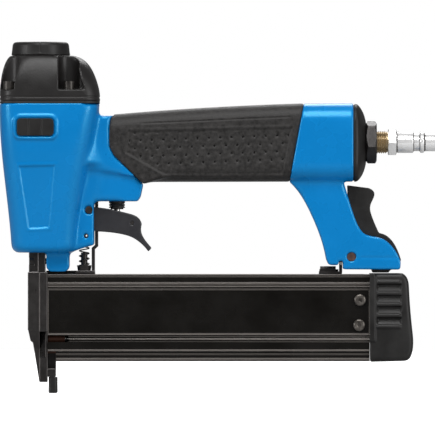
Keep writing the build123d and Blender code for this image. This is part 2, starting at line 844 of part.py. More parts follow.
thread_pitch = 1.34
thread_low = cap_face - 4.0
thread_high = cap_face + 14.6
thread_turns = int((thread_high - thread_low) / thread_pitch)
plug_hex_high = thread_high + 5.5
with BuildPart() as air_plug:
    # Threaded end, drawn as closed ridges
    with BuildSketch(Plane.XY) as thread_profile:
        with BuildLine():
            Polyline(
                (thread_low, 3.6),
                *[
                    (thread_low + thread_pitch * (n / 2), thread_radius - (0.05 if n % 2 else 0.8))
                    for n in range(2 * thread_turns + 1)
                ],
                (thread_high, thread_radius - 0.8),
                (thread_high, 3.6),
                close=True,
            )
        make_face()
    revolve(axis=Axis.X)
    with BuildSketch(Plane.YZ.offset(thread_high)) as plug_hex:
        RegularPolygon(8.5, 6, major_radius=False, rotation=0)
    extrude(plug_hex.sketch, amount=5.5)
    # Coupling end: body, groove, ring and tail
    bar(7.15, plug_hex_high, plug_hex_high + 11.5, 0, 0)
    bar(5.95, plug_hex_high + 11.5, plug_hex_high + 15.9, 0, 0)
    bar(7.1, plug_hex_high + 15.9, plug_hex_high + 18.7, 0, 0)
    bar(plug_tail_radius, plug_hex_high + 18.7, plug_end, 0, 0)
    chamfer(air_plug.faces().sort_by(Axis.X)[-1].edges(), 1.2)
    bar(3.6, thread_low - 1.0, plug_end + 1.0, 0, 0, mode=Mode.SUBTRACT)
air_plug.part = air_plug.part.moved(Location((0, 0, plug_z)))
finish(air_plug, "air_plug")

# ---------------------------------------------------------------- trigger
trigger_half = yoke_slot_half - free_gap
trigger_wall = 1.25
lever_pin_x = pivot_x + 28.8
lever_pin_z = pivot_z - 8.8
with BuildPart() as trigger:
    with BuildSketch(side(0)) as trigger_profile:
        with BuildLine():
            Line((pivot_x - 2.6, pivot_z + 3.2), (pivot_x + 4.3, pivot_z + 1.9))
            Spline(
                (pivot_x + 4.3, pivot_z + 1.9),
                (pivot_x + 14.5, pivot_z + 0.5),
                (pivot_x + 24.8, pivot_z - 1.9),
                (pivot_x + 31.6, pivot_z - 4.3),
                (pivot_x + 35.2, pivot_z - 9.6),
            )
            Spline(
                (pivot_x + 35.2, pivot_z - 9.6),
                (pivot_x + 35.6, pivot_z - 17.2),
                (pivot_x + 38.6, pivot_z - 21.8),
                (pivot_x + 41.8, pivot_z - 25.6),
            )
            Line((pivot_x + 41.8, pivot_z - 25.6), (pivot_x + 39.6, pivot_z - 27.9))
            Spline(
                (pivot_x + 39.6, pivot_z - 27.9),
                (pivot_x + 34.4, pivot_z - 22.2),
                (pivot_x + 28.2, pivot_z - 18.2),
                (pivot_x + 21.4, pivot_z - 16.2),
                (pivot_x + 11.1, pivot_z - 14.8),
                (pivot_x + 3.8, pivot_z - 14.4),
            )
            Polyline(
                (pivot_x + 3.8, pivot_z - 14.4),
                (pivot_x - 3.6, pivot_z - 3.0),
                (pivot_x - 4.0, pivot_z + 1.0),
                (pivot_x - 2.6, pivot_z + 3.2),
            )
        make_face()
    extrude(trigger_profile.sketch, amount=trigger_half, both=True)
    # Channel, open upwards
    extrude(
        outline(
            side(0),
            (
                (pivot_x - 8.0, pivot_z + 8.0),
                (pivot_x - 8.0, pivot_z - 12.4),
                (pivot_x + 10.0, pivot_z - 12.6),
                (pivot_x + 20.0, pivot_z - 14.0),
                (pivot_x + 28.0, pivot_z - 16.2),
                (pivot_x + 33.2, pivot_z - 17.4),
                (pivot_x + 33.4, pivot_z - 9.8),
                (pivot_x + 30.6, pivot_z - 6.2),
                (pivot_x + 28.0, pivot_z + 8.0),
            ),
        ),
        amount=trigger_half - trigger_wall,
        both=True,
        mode=Mode.SUBTRACT,
    )
    block(
        (pivot_x - 8.0, link_x + link_thick + 6.3),
        (-link_half - 0.6, link_half + 0.6),
        (pivot_z - 16.0, pivot_z - 10.0),
        mode=Mode.SUBTRACT,
    )
    axle(pivot_radius + running_gap, -10.0, 10.0, pivot_x, pivot_z, mode=Mode.SUBTRACT)
    axle(lever_pin_radius, -10.0, 10.0, lever_pin_x, lever_pin_z, mode=Mode.SUBTRACT)
finish(trigger, "trigger")

with BuildPart() as trigger_pin:
    axle(pivot_radius, -yoke_half - 0.2, yoke_half + 0.2, pivot_x, pivot_z)
finish(trigger_pin, "trigger_pin")

with BuildPart() as roll_pin:
    axle(roll_pin_radius, -yoke_half + 0.2, yoke_half - 0.2, roll_pin_x, roll_pin_z)
    axle(roll_pin_radius - 0.55, -yoke_half, yoke_half, roll_pin_x, roll_pin_z, mode=Mode.SUBTRACT)
finish(roll_pin, "roll_pin")

lever_high = stem_low - 0.8
lever_thick = 1.5
lever_half = trigger_half - trigger_wall - 0.5
lever_front_z = boss_low - 8.8
with BuildPart() as trigger_lever:
    extrude(
        outline(
            side(0),
            (
                (pivot_x + 8.0, lever_front_z + lever_thick),
                (pivot_x + 12.2, lever_front_z + lever_thick),
                (pivot_x + 15.4, lever_high),
                (pivot_x + 24.5, lever_high),
                (lever_pin_x + 2.4, lever_pin_z + 1.8),
                (lever_pin_x + 2.4, lever_pin_z - 1.8),
                (lever_pin_x - 1.8, lever_pin_z - 1.8),
                (pivot_x + 24.0, lever_high - lever_thick),
                (pivot_x + 14.6, lever_high - lever_thick),
                (pivot_x + 11.4, lever_front_z),
                (pivot_x + 8.0, lever_front_z),
            ),
        ),
        amount=lever_half,
        both=True,
    )
    axle(lever_pin_radius + running_gap, -10.0, 10.0, lever_pin_x, lever_pin_z, mode=Mode.SUBTRACT)
finish(trigger_lever, "trigger_lever")

with BuildPart() as lever_pin:
    axle(lever_pin_radius, -trigger_half + 0.2, trigger_half - 0.2, lever_pin_x, lever_pin_z)
finish(lever_pin, "lever_pin")

# ---------------------------------------------------------------- trigger valve
stem_shaft = 2.0
valve_cavity = 3.6
cavity_low = valve_low + 9.4
cavity_high = valve_high - 3.0
collar_low = cavity_low + 0.3
seal_levels = (valve_low + 3.6, valve_low + 12.0, valve_low + 21.0)
with BuildPart() as valve_body:
    post(valve_radius, valve_low + 1.6, valve_high - 0.1, valve_x)
    post(4.3, valve_low + 0.7, valve_low + 2.0, valve_x)
    for level in seal_levels:
        ring(valve_radius - 1.5, valve_radius + 1.0, level - 0.8, level + 0.8, valve_x, mode=Mode.SUBTRACT)
    for level in (boss_low - 3.2, boss_low - 1.6):
        ring(valve_radius - 0.5, valve_radius + 1.0, level - 0.35, level + 0.35, valve_x, mode=Mode.SUBTRACT)
    post(stem_shaft + running_gap, valve_low - 1.0, cavity_low + 1.0, valve_x, mode=Mode.SUBTRACT)
    post(valve_cavity, cavity_low, valve_high + 1.0, valve_x, mode=Mode.SUBTRACT)
finish(valve_body, "valve_body")

with BuildPart() as valve_cap:
    post(valve_cavity, cavity_high, valve_high - 0.1, valve_x)
    post(1.2, cavity_high - 1.0, valve_high + 1.0, valve_x, mode=Mode.SUBTRACT)
finish(valve_cap, "valve_cap")

with BuildPart() as valve_seals:
    for level in seal_levels:
        with Locations((valve_x, 0, level)):
            Torus(valve_radius - 0.72, 0.74)
finish(valve_seals, "valve_seals")

with BuildPart() as valve_stem:
    post(stem_shaft, stem_low, collar_low + 4.0, valve_x)
    post(valve_cavity - free_gap, collar_low, collar_low + 1.6, valve_x)
    fillet(valve_stem.edges().group_by(Axis.Z)[0], 0.6)
finish(valve_stem, "valve_stem")

with BuildPart() as valve_spring:
    add(
        coil(
            2.75,
            0.6,
            (valve_x, 0, collar_low + 2.1),
            cavity_high - collar_low - 2.6,
            5,
            (0, 0, 1),
        )
    )
finish(valve_spring, "valve_spring")

# ---------------------------------------------------------------- safety
seat_high = tab_high + 3.6
with BuildPart() as upper_link:
    extrude(
        outline(
            side(0),
            (
                (link_x - 2.2, tab_high),
                (link_x, tab_high),
                (link_x, barrel_low + 2.2),
                (link_x + link_thick, barrel_low + 4.2),
                (link_x + link_thick, lever_front_z - safety_travel - 2.0),
                (link_x + link_thick + 4.6, lever_front_z - safety_travel - 2.0),
                (link_x + link_thick + 4.6, lever_front_z - safety_travel - 0.4),
                (link_x + link_thick, lever_front_z - safety_travel - 0.4),
                (link_x + link_thick, boss_low - 0.2),
                (link_x, boss_low - 0.2),
                (link_x, barrel_low + 5.2),
                (link_x - 2.2, barrel_low + 3.2),
            ),
        ),
        amount=link_half,
        both=True,
    )
finish(upper_link, "upper_link")

with BuildPart() as contact_arm:
    # Foot under the magazine's front corner, plate beside the magazine, and tab over it
    block((arm_front, arm_rear), (-4.0, arm_outer), (foot_low, foot_high))
    block((nose_rear - 1.2, arm_rear), (arm_inner, arm_outer), (foot_low, tab_high))
    block((arm_front, link_x), (arm_inner, arm_outer), (tab_low - 4.0, tab_high))
    block((spring_x - 5.6, link_x), (-5.0, arm_outer), (tab_low, tab_high))
    # Tenon in the contact tip
    block((arm_front + 1.6, arm_rear - 0.6), (-2.5, 2.5), (foot_low - 4.0, foot_low + 1.0))
    post(2.5, tab_low - 1.0, tab_high + 1.0, spring_x, mode=Mode.SUBTRACT)
finish(contact_arm, "contact_arm")

with BuildPart() as contact_tip:
    extrude(
        rounded(Plane.XY, arm_front + 0.6, arm_rear + 1.2, -tip_half, tip_half, 1.7),
        amount=foot_low - 0.2,
    )
    fillet(contact_tip.faces().sort_by(Axis.Z)[0].edges(), 1.1)
    block(
        (arm_front + 1.6, arm_rear - 0.6),
        (-2.5, 2.5),
        (foot_low - 4.0, foot_low + 1.0),
        mode=Mode.SUBTRACT,
    )
finish(contact_tip, "contact_tip")

with BuildPart() as spring_seat:
    with BuildSketch(Plane.XZ) as seat_profile:
        with BuildLine():
            Polyline(
                (0, tab_low + 0.1),
                (2.5, tab_low + 0.1),
                (2.5, tab_high),
                (4.3, tab_high),
                (4.9, seat_high),
                (4.4, seat_high),
                (4.1, seat_high - 1.0),
                (2.2, seat_high - 1.0),
                (2.2, pocket_z - 7.0),
                (0, pocket_z - 7.0),
                close=True,
            )
        make_face()
    revolve(axis=Axis.Z)
spring_seat.part = spring_seat.part.moved(Location((spring_x, 0, 0)))
finish(spring_seat, "spring_seat")

safety_wire = 0.9
with BuildPart() as safety_spring:
    add(
        coil(
            spring_radius,
            safety_wire,
            (spring_x, 0, seat_high - 1.0 + safety_wire / 2 + 0.05),
            pocket_z - seat_high + 1.0 - safety_wire - 0.1,
            5,
            (0, 0, 1),
        )
    )
finish(safety_spring, "safety_spring")

# ---------------------------------------------------------------- nose
step_z = deck + 1.3
plate_rear = -1.4
upper_rear = -2.3
guide_rear = 2.3
taper_high = magazine_low + 20.3
nose_step_front = -8.6
nose_screw_places = [(upper_screw_z, nose_screw_side, nose_step_front, 15.0)] + [
    (z, 5.8, -nose_front, nose_rear) for z in (deck - 10.0, magazine_low + 28.0)
]
nose_recess = 3.4


def nose_taper():
    """Narrows the nose below the magazine, seen from the front."""
    for way in (-1, 1):
        extrude(
            outline(
                Plane.YZ.offset(-nose_front - 1.0),
                (
                    (way * (nose_half + 1.0), taper_high),
                    (way * nose_half, taper_high),
                    (way * 5.6, taper_high - 12.0),
                    (way * 5.0, nose_low - 1.0),
                    (way * (nose_half + 1.0), nose_low - 1.0),
                ),
            ),
            amount=nose_front + nose_rear + 3.0,
            mode=Mode.SUBTRACT,
        )


with BuildPart() as driver_guide:
    block((plate_rear, nose_rear), (-nose_half, nose_half), (nose_low, step_z))
    block((upper_rear, guide_rear), (-nose_half + 1.5, nose_half - 1.5), (step_z, barrel_low))
    nose_taper()
    # Driver's groove and the brads' way in
    block(
        (upper_rear - 1.0, channel_depth),
        (-channel_half, channel_half),
        (nose_low - 1.0, barrel_low + 1.0),
        mode=Mode.SUBTRACT,
    )
    block(
        (0.0, nose_rear + 1.0),
        (-channel_half, channel_half),
        (channel_low, channel_high),
        mode=Mode.SUBTRACT,
    )
    # Side windows beside the channel
    for way in (-1, 1):
        block(
            (-1.1, guide_rear),
            tuple(sorted((way * 3.0, way * 12.0))),
            (magazine_low + 2.6, magazine_low + 19.6),
            mode=Mode.SUBTRACT,
        )
    # Clear holes of the screws
    for z, y, front, rear in nose_screw_places:
        for way in (-1, 1):
            bar(nose_screw_radius, -nose_front, nose_rear + 1.0, way * y, z, mode=Mode.SUBTRACT)
finish(driver_guide, "driver_guide")

with BuildPart() as nose_front_plate:
    extrude(
        outline(
            side(0),
            (
                (plate_rear, step_z),
                (-nose_front, step_z),
                (-nose_front, taper_high + 1.0),
                (-nose_front + 0.3, taper_high + 0.4),
                (-7.6, taper_high - 6.5),
                (-6.0, taper_high - 7.8),
                (plate_rear - 0.3, nose_low + 0.3),
                (plate_rear, nose_low + 0.3),
            ),
        ),
        amount=nose_half,
        both=True,
    )
    block((nose_step_front, upper_rear), (-nose_half + 1.5, nose_half - 1.5), (step_z - 1.0, barrel_low))
    nose_taper()
    # Tongue that closes the driver's groove
    block(
        (upper_rear - 0.5, -channel_depth),
        (-channel_half + running_gap, channel_half - running_gap),
        (step_z - 1.0, barrel_low),
    )
    block(
        (plate_rear - 0.2, -channel_depth),
        (-channel_half + running_gap, channel_half - running_gap),
        (nose_low + 0.3, step_z),
    )
    for z, y, front, rear in nose_screw_places:
        for way in (-1, 1):
            bar(nose_screw_radius, -nose_front - 1.0, rear, way * y, z, mode=Mode.SUBTRACT)
            bar(3.5, -nose_front - 1.0, front + nose_recess, way * y, z, mode=Mode.SUBTRACT)
finish(nose_front_plate, "nose_front_plate")

with BuildPart() as nose_screws:
    for z, y, front, rear in nose_screw_places:
        for way in (-1, 1):
            bar(nose_screw_radius, front + nose_recess, rear, way * y, z)
            bar(3.4, front + 0.2, front + nose_recess, way * y, z)
            with BuildSketch(Plane.YZ.offset(front + 0.2)) as sockets:
                with Locations((way * y, z)):
                    RegularPolygon(1.7, 6)
            extrude(sockets.sketch, amount=2.0, mode=Mode.SUBTRACT)
finish(nose_screws, "nose_screws")

# ---------------------------------------------------------------- magazine
# Shallow bands along both outer faces: bottom, top and depth
bands = (
    (magazine_low + 1.7, magazine_low + 4.7, 0.7),
    (magazine_low + 7.4, magazine_low + 13.2, 0.7),
    (magazine_low + 15.0, magazine_low + 16.6, 1.2),
    (magazine_low + 18.3, deck - 10.2, 0.8),
    (deck - 8.0, deck - 7.4, 0.8),
    (deck - 5.9, deck - 1.5, 0.7),
)
tongue_levels = ((channel_low - 2.0, channel_low - free_gap), (channel_high + free_gap, channel_high + 2.0))
tongue_reach = 3.0
rail_rear = magazine_rear - 4.0
notch_rear = arm_rear + free_gap
notch_high = magazine_low + 6.7


def cut_bands(way, x_low, x_high):
    """Cuts the shallow bands into an outer face of the magazine."""
    for low, high, depth in bands:
        y = way * magazine_half
        block((x_low, x_high), tuple(sorted((y - way * depth, y + way))), (low, high), mode=Mode.SUBTRACT)


with BuildPart() as fixed_magazine:
    block((rail_front, rail_rear), (channel_half, magazine_half), (magazine_low, deck))
    block(
        (rail_front + 0.25, rail_front + 13.0),
        (channel_half + 0.5, magazine_half - 1.0),
        (deck - 1.0, lug_low),
    )
    cut_bands(1, rail_front - 1.0, rail_rear + 1.0)
    for low, high in tongue_levels:
        block(
            (rail_front - 1.0, rail_rear + 1.0),
            (0.0, tongue_reach + free_gap),
            (low - free_gap, high + free_gap),
            mode=Mode.SUBTRACT,
        )
    bar(tunnel_radius, rail_front - 1.0, rail_rear + 1.0, 0, tunnel_z, mode=Mode.SUBTRACT)
    block(
        (rail_front - 1.0, notch_rear),
        (0.0, magazine_half + 1.0),
        (magazine_low - 1.0, notch_high),
        mode=Mode.SUBTRACT,
    )
    for x in bracket_screw_places:
        post(bracket_screw_radius, deck - 6.0, deck + 1.0, x, bracket_screw_side, mode=Mode.SUBTRACT)
finish(fixed_magazine, "fixed_magazine")

with BuildPart() as magazine_bracket:
    block((tail + 10.3, tail + 25.6), (-5.0, magazine_half - 1.0), (deck + free_gap, deck + 1.8))
    block((tail + 10.3, tail + 25.6), (channel_half + 0.5, magazine_half - 1.0), (deck, deck + 1.0))
    with Locations((tail + 16.3, 0, deck + 3.4)):
        Cylinder(1.9, 10.5, rotation=(0, 90, 0))
    block((tail + 11.0, tail + 21.6), (-1.9, 1.9), (deck + 1.0, deck + 3.4))
    block((tail + 23.8, tail + 25.8), (-5.0, 5.0), (deck + 1.0, deck + 8.7))
    axle(bracket_pin_radius, -6.0, 6.0, hook_x, hook_z, mode=Mode.SUBTRACT)
    for x in bracket_screw_places:
        post(bracket_screw_radius, deck - 1.0, deck + 6.0, x, bracket_screw_side, mode=Mode.SUBTRACT)
finish(magazine_bracket, "magazine_bracket")

with BuildPart() as bracket_screws:
    for x in bracket_screw_places:
        post(bracket_screw_radius, deck - 5.5, deck + 1.8, x, bracket_screw_side)
        post(bracket_screw_radius + 0.9, deck + 1.8, deck + 3.2, x, bracket_screw_side)
finish(bracket_screws, "bracket_screws")

with BuildPart() as bracket_pin:
    axle(bracket_pin_radius, -strut_half + 0.4, strut_half - 0.4, hook_x, hook_z)
finish(bracket_pin, "bracket_pin")

shell_wall = 1.7
tray_low = magazine_low + 20.6
tray_high = deck - 12.7
cover_inner = -channel_half + running_gap
cover_face = -magazine_half + 0.8
tray_outer = cover_face + 1.1
cover_screw_end = cover_inner - shell_wall - 0.75
with BuildPart() as magazine_cover:
    block((cover_front, magazine_rear), (-magazine_half, cover_inner), (magazine_low, deck))
    for low, high in tongue_levels:
        block((cover_front, rail_rear), (cover_inner - 0.5, tongue_reach), (low, high))
    cut_bands(-1, cover_front - 1.0, magazine_rear + 1.0)
    # Hollow of the extrusion
    block(
        (cover_front - 1.0, magazine_rear + 1.0),
        (tray_outer, cover_inner - shell_wall),
        (tray_low, tray_high),
        mode=Mode.SUBTRACT,
    )
    bar(tunnel_radius, cover_front - 1.0, magazine_rear + 1.0, 0, tunnel_z, mode=Mode.SUBTRACT)
    block(
        (cover_front - 1.0, notch_rear),
        (-magazine_half - 1.0, 4.0),
        (magazine_low - 1.0, notch_high),
        mode=Mode.SUBTRACT,
    )
    # Window on the pusher
    block(
        (cover_front - 1.0, cover_front + 12.4),
        (-magazine_half - 1.0, -3.0),
        (tunnel_z - 2.2, tunnel_z + 2.2),
        mode=Mode.SUBTRACT,
    )
    axle(2.2, -magazine_half - 1.0, -3.0, cover_front + 12.4, tunnel_z, mode=Mode.SUBTRACT)
    for x, z in cover_screw_places:
        axle(cover_screw_radius, -magazine_half - 1.0, -magazine_half + 3.0, x, z, mode=Mode.SUBTRACT)
finish(magazine_cover, "magazine_cover")

rib_pitch = 7.45
with BuildPart() as rear_cap:
    with BuildSketch(side(0)) as cap_outline:
        with BuildLine():
            Polyline(
                (magazine_rear + 0.5, magazine_low - 0.4),
                (magazine_rear + 0.5, magazine_low + 13.2),
                (magazine_rear, magazine_low + 13.2),
                (magazine_rear, deck + 0.6),
                (magazine_rear + 22.0, deck + 0.6),
            )
            Spline(
                (magazine_rear + 22.0, deck + 0.6),
                (magazine_rear + 24.6, deck - 1.8),
                (magazine_rear + 26.4, deck - 10.4),
                (magazine_rear + 28.5, magazine_low + 21.4),
                (magazine_rear + 28.5, magazine_low + 6.2),
                (magazine_rear + 26.2, magazine_low + 1.4),
                (magazine_rear + 22.9, magazine_low + 0.2),
            )
            Line((magazine_rear + 22.9, magazine_low + 0.2), (magazine_rear + 0.5, magazine_low - 0.4))
        make_face()
    extrude(cap_outline.sketch, amount=cap_half, both=True)
    fillet(
        rear_cap.edges()
        .filter_by(lambda e: abs(abs(e.center().Y) - cap_half) < 0.01)
        .filter_by(lambda e: e.center().X > magazine_rear + 10.0),
        3.0,
    )
    # Finger ribs on both faces
    for way in (-1, 1):
        for step in range(5):
            z = deck - 5.4 - rib_pitch * step
            block(
                (magazine_rear + 5.0, magazine_rear + 20.5),
                tuple(sorted((way * (cap_half - 0.5), way * (cap_half + 0.9)))),
                (z - 1.0, z + 1.0),
            )
        block(
            (magazine_rear, magazine_rear + 3.6),
            tuple(sorted((way * (cap_half - 0.5), way * (cap_half + 0.9)))),
            (magazine_low + 13.2, deck + 0.6),
        )
    # Hollow of the moulding, open towards the fixed rail
    block(
        (magazine_rear - 1.0, magazine_rear + 24.0),
        (1.0, cap_half - 2.4),
        (magazine_low + 3.0, deck - 3.0),
        mode=Mode.SUBTRACT,
    )
    # Tray that the cover is screwed to
    block(
        (magazine_rear - 14.0, magazine_rear + 1.0),
        (tray_outer + running_gap, cover_inner - shell_wall - running_gap),
        (tray_low + 0.1, tray_high - 0.1),
    )
    for x, z in cover_screw_places:
        axle(cover_screw_radius, -magazine_half - 1.0, cover_screw_end, x, z, mode=Mode.SUBTRACT)
    bar(rod_radius, magazine_rear - 1.0, magazine_rear + 6.0, 0, tunnel_z, mode=Mode.SUBTRACT)
finish(rear_cap, "rear_cap")

with BuildPart() as magazine_screws:
    for x, z in cover_screw_places:
        axle(cover_screw_radius, cover_face, cover_screw_end, x, z)
        axle(4.0, cover_face - 2.2, cover_face, x, z)
    fillet(magazine_screws.edges().group_by(Axis.Y)[0], 1.2)
    for x, z in cover_screw_places:
        with BuildSketch(side(cover_face - 2.2)) as sockets:
            with Locations((x, z)):
                RegularPolygon(1.5, 6)
        extrude(sockets.sketch, amount=-1.5, mode=Mode.SUBTRACT)
finish(magazine_screws, "magazine_screws")

pusher_rear = rail_front + 11.6
with BuildPart() as pusher:
    block((channel_depth + 0.5, rail_front + 7.0), (-0.9, 0.9), (channel_low + 2.0, channel_high - 2.0))
    bar(tunnel_radius - free_gap, cover_front + 0.3, pusher_rear, 0, tunnel_z)
    bar(rod_radius + running_gap, 0.0, pusher_rear + 1.0, 0, tunnel_z, mode=Mode.SUBTRACT)
finish(pusher, "pusher")

with BuildPart() as pusher_rod:
    bar(rod_radius, cover_front + 2.0, magazine_rear + 6.0, 0, tunnel_z)
finish(pusher_rod, "pusher_rod")

pusher_wire = 0.7
with BuildPart() as pusher_spring:
    add(
        coil(
            rod_radius + 1.1,
            pusher_wire,
            (pusher_rear + pusher_wire, 0, tunnel_z),
            magazine_rear - pusher_rear - 2 * pusher_wire,
            32,
            (1, 0, 0),
        )
    )
finish(pusher_spring, "pusher_spring")

# ---------------------------------------------------------------- latch
lever_top = grip_low - 2.6
with BuildPart() as latch_lever:
    with BuildSketch(side(0)) as latch_profile:
        with BuildLine():
            Line((tail + 29.2, lever_top + 0.2), (tail + 43.5, lever_top - 1.6))
            Spline(
                (tail + 43.5, lever_top - 1.6),
                (tail + 47.4, lever_top - 5.8),
                (tail + 44.6, lever_top - 13.7),
                (tail + 45.5, lever_top - 20.0),
                (tail + 50.4, deck + 27.6),
            )
            Spline(
                (tail + 50.4, deck + 27.6),
                (tail + 56.0, deck + 25.4),
                (tail + 61.8, deck + 18.2),
                (tail + 65.2, deck + 9.6),
            )
            Polyline(
                (tail + 65.2, deck + 9.6),
                (tail + 63.4, deck + 3.6),
                (tail + 58.0, deck + 2.8),
                (tail + 57.0, hook_low),
                (tail + 46.0, hook_low),
                (tail + 44.4, deck + 6.0),
                (latch_x + 3.0, latch_z - 5.2),
                (latch_x - 2.4, latch_z - 4.6),
                (latch_x - 5.0, latch_z),
                (latch_x - 4.0, latch_z + 6.0),
                (latch_x - 1.0, deck + 25.0),
                (tail + 29.6, latch_spring_z),
                (tail + 29.2, lever_top + 0.2),
            )
        make_face()
    extrude(latch_profile.sketch, amount=latch_half, both=True)
    axle(latch_pin_radius + running_gap, -10.0, 10.0, latch_x, latch_z, mode=Mode.SUBTRACT)
finish(latch_lever, "latch_lever")

with BuildPart() as latch_pin:
    axle(latch_pin_radius, -strut_half + 0.2, strut_half - 0.2, latch_x, latch_z)
finish(latch_pin, "latch_pin")

with BuildPart() as latch_spring:
    add(
        coil(
            latch_spring_radius,
            0.8,
            (latch_web_x - 1.4, 0, latch_spring_z),
            tail + 29.6 - latch_web_x + 0.8,
            5,
            (1, 0, 0),
        )
    )
finish(latch_spring, "latch_spring")
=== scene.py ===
import json
import math
import bmesh
import bpy
import numpy as np
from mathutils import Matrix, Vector


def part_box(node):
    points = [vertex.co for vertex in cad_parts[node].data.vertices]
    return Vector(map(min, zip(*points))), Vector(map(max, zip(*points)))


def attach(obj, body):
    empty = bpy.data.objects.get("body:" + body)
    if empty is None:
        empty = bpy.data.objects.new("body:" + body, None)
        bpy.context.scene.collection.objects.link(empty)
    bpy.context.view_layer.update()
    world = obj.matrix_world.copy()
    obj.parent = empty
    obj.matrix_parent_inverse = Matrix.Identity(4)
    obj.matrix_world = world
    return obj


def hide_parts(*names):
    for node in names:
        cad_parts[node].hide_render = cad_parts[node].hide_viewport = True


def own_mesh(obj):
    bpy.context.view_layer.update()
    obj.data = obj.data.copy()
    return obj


# A pneumatic brad nailer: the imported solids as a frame, with detailed skins over the surfaces that show.
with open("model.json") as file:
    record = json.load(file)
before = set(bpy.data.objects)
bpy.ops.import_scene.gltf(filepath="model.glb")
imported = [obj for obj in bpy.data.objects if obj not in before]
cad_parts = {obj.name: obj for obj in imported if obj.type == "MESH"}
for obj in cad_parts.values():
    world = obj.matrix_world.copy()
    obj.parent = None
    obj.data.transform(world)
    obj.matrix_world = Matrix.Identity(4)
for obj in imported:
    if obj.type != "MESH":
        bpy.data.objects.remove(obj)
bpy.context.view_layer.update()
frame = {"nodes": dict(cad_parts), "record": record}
NODES = frame["nodes"]
MM = 0.001


def corners(node):
    """A node's lowest and highest corners at rest, in millimetres."""
    low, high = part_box(node)
    return np.array(low) / MM, np.array(high) / MM


# ---------------------------------------------------------------- places
housing_high = corners("main_housing")[1]
head_low = corners("cylinder_head")[0]
cap_low, cap_high = corners("exhaust_cap")
grip_low, grip_high = corners("grip_sleeve")
gasket_height = 1.2
shoulder = head_low[2] - gasket_height  # top of the housing
barrel_half = housing_high[1] - 2.0  # the raised pads' border is left out
plug_low, plug_high = corners("air_plug")
adapter_low, adapter_high = corners("air_adapter")
plug_z = (plug_low[2] + plug_high[2]) / 2

# ---------------------------------------------------------------- materials
SLOTS = {}


def node_of(tree, kind, **inputs):
    """Adds a shader node and sets the inputs that have plain values."""
    made = tree.nodes.new(kind)
    for key, value in inputs.items():
        made.inputs[key.replace("_", " ")].default_value = value
    return made


def noise(tree, coordinates, scale, detail=3.0, roughness=0.5):
    texture = node_of(tree, "ShaderNodeTexNoise", Scale=scale, Detail=detail, Roughness=roughness)
    tree.links.new(coordinates, texture.inputs["Vector"])
    return texture.outputs["Fac"]


def ranged(tree, value, low, high, to_low, to_high):
    """Maps a value from one range to another, held at both ends."""
    made = node_of(tree, "ShaderNodeMapRange")
    for index, number in enumerate((low, high, to_low, to_high), start=1):
        made.inputs[index].default_value = number
    tree.links.new(value, made.inputs[0])
    return made.outputs[0]


def mixed(tree, factor, first, second):
    """Mixes two colours, each a plain colour or a socket."""
    made = tree.nodes.new("ShaderNodeMix")
    made.data_type = "RGBA"
    tree.links.new(factor, made.inputs[0])
    for socket, colour in ((made.inputs[6], first), (made.inputs[7], second)):
        if isinstance(colour, tuple):
            socket.default_value = (*colour, 1.0)
        else:
            tree.links.new(colour, socket)
    return made.outputs[2]


def product(tree, first, second):
    made = tree.nodes.new("ShaderNodeMath")
    made.operation = "MULTIPLY"
    tree.links.new(first, made.inputs[0])
    tree.links.new(second, made.inputs[1])
    return made.outputs[0]


def surface(slot, colour, rough, metal=0.0, coat=0.0, coat_rough=0.08, spec=0.5, grain=(900.0, 0.00002),
            blotch=(40.0, 0.08), worn=None, wear=0.0, streak=None, sheen=0.0, dust=0.0, tint=(1.0, 1.0, 1.0)):
    """A material with colour drift, grain, edge wear and, where asked, streaks along one axis.

    grain is its scale and height, in metres, and blotch the scale of the drift and its strength.
    """
    made = bpy.data.materials.new(slot)
    made.use_nodes = True
    tree = made.node_tree
    tree.nodes.clear()
    out = tree.nodes.new("ShaderNodeOutputMaterial")
    shader = tree.nodes.new("ShaderNodeBsdfPrincipled")
    tree.links.new(shader.outputs[0], out.inputs[0])
    for name, value in (
        ("Metallic", metal),
        ("Coat Weight", coat),
        ("Coat Roughness", coat_rough),
        ("Specular IOR Level", spec),
        ("Sheen Weight", sheen),
        ("Sheen Roughness", 0.5),
        ("Specular Tint", (*tint, 1.0)),
    ):
        shader.inputs[name].default_value = value
    place = tree.nodes.new("ShaderNodeTexCoord").outputs["Object"]
    drift = noise(tree, place, blotch[0], 4.0, 0.6)
    darker = tuple(c * (1 - blotch[1]) for c in colour)
    lighter = tuple(min(1.0, c * (1 + blotch[1]) + 0.04 * blotch[1]) for c in colour)
    tone = mixed(tree, ranged(tree, drift, 0.3, 0.7, 0.0, 1.0), darker, lighter)
    if dust:
        # Fine pale specks that sit in the grain
        specks = ranged(tree, noise(tree, place, grain[0] * 0.6, 6.0, 0.7), 0.58, 0.75, 0.0, dust)
        tone = mixed(tree, specks, tone, tuple(min(1.0, c * 2.2 + 0.04) for c in colour))
    if worn is not None:
        edge = tree.nodes.new("ShaderNodeNewGeometry").outputs["Pointiness"]
        edge = ranged(tree, edge, 0.53, 0.62, 0.0, wear)  # only the sharper outer edges
        patches = ranged(tree, noise(tree, place, 180.0, 5.0, 0.65), 0.42, 0.62, 0.15, 1.0)
        tone = mixed(tree, product(tree, edge, patches), tone, worn)
    tree.links.new(tone, shader.inputs["Base Color"])
    fine = noise(tree, place, grain[0], 2.0, 0.5)
    gloss = drift
    if streak is not None:
        stretch = node_of(tree, "ShaderNodeMapping", Scale=streak)
        tree.links.new(place, stretch.inputs["Vector"])
        fine = noise(tree, stretch.outputs[0], grain[0], 3.0, 0.6)
        gloss = fine
    rough = ranged(tree, gloss, 0.3, 0.7, max(0.02, rough * 0.8), min(1.0, rough * 1.2))
    tree.links.new(rough, shader.inputs["Roughness"])
    bump = node_of(tree, "ShaderNodeBump", Strength=1.0, Distance=grain[1])
    tree.links.new(fine, bump.inputs["Height"])
    tree.links.new(bump.outputs[0], shader.inputs["Normal"])
    SLOTS[slot] = made
    return made


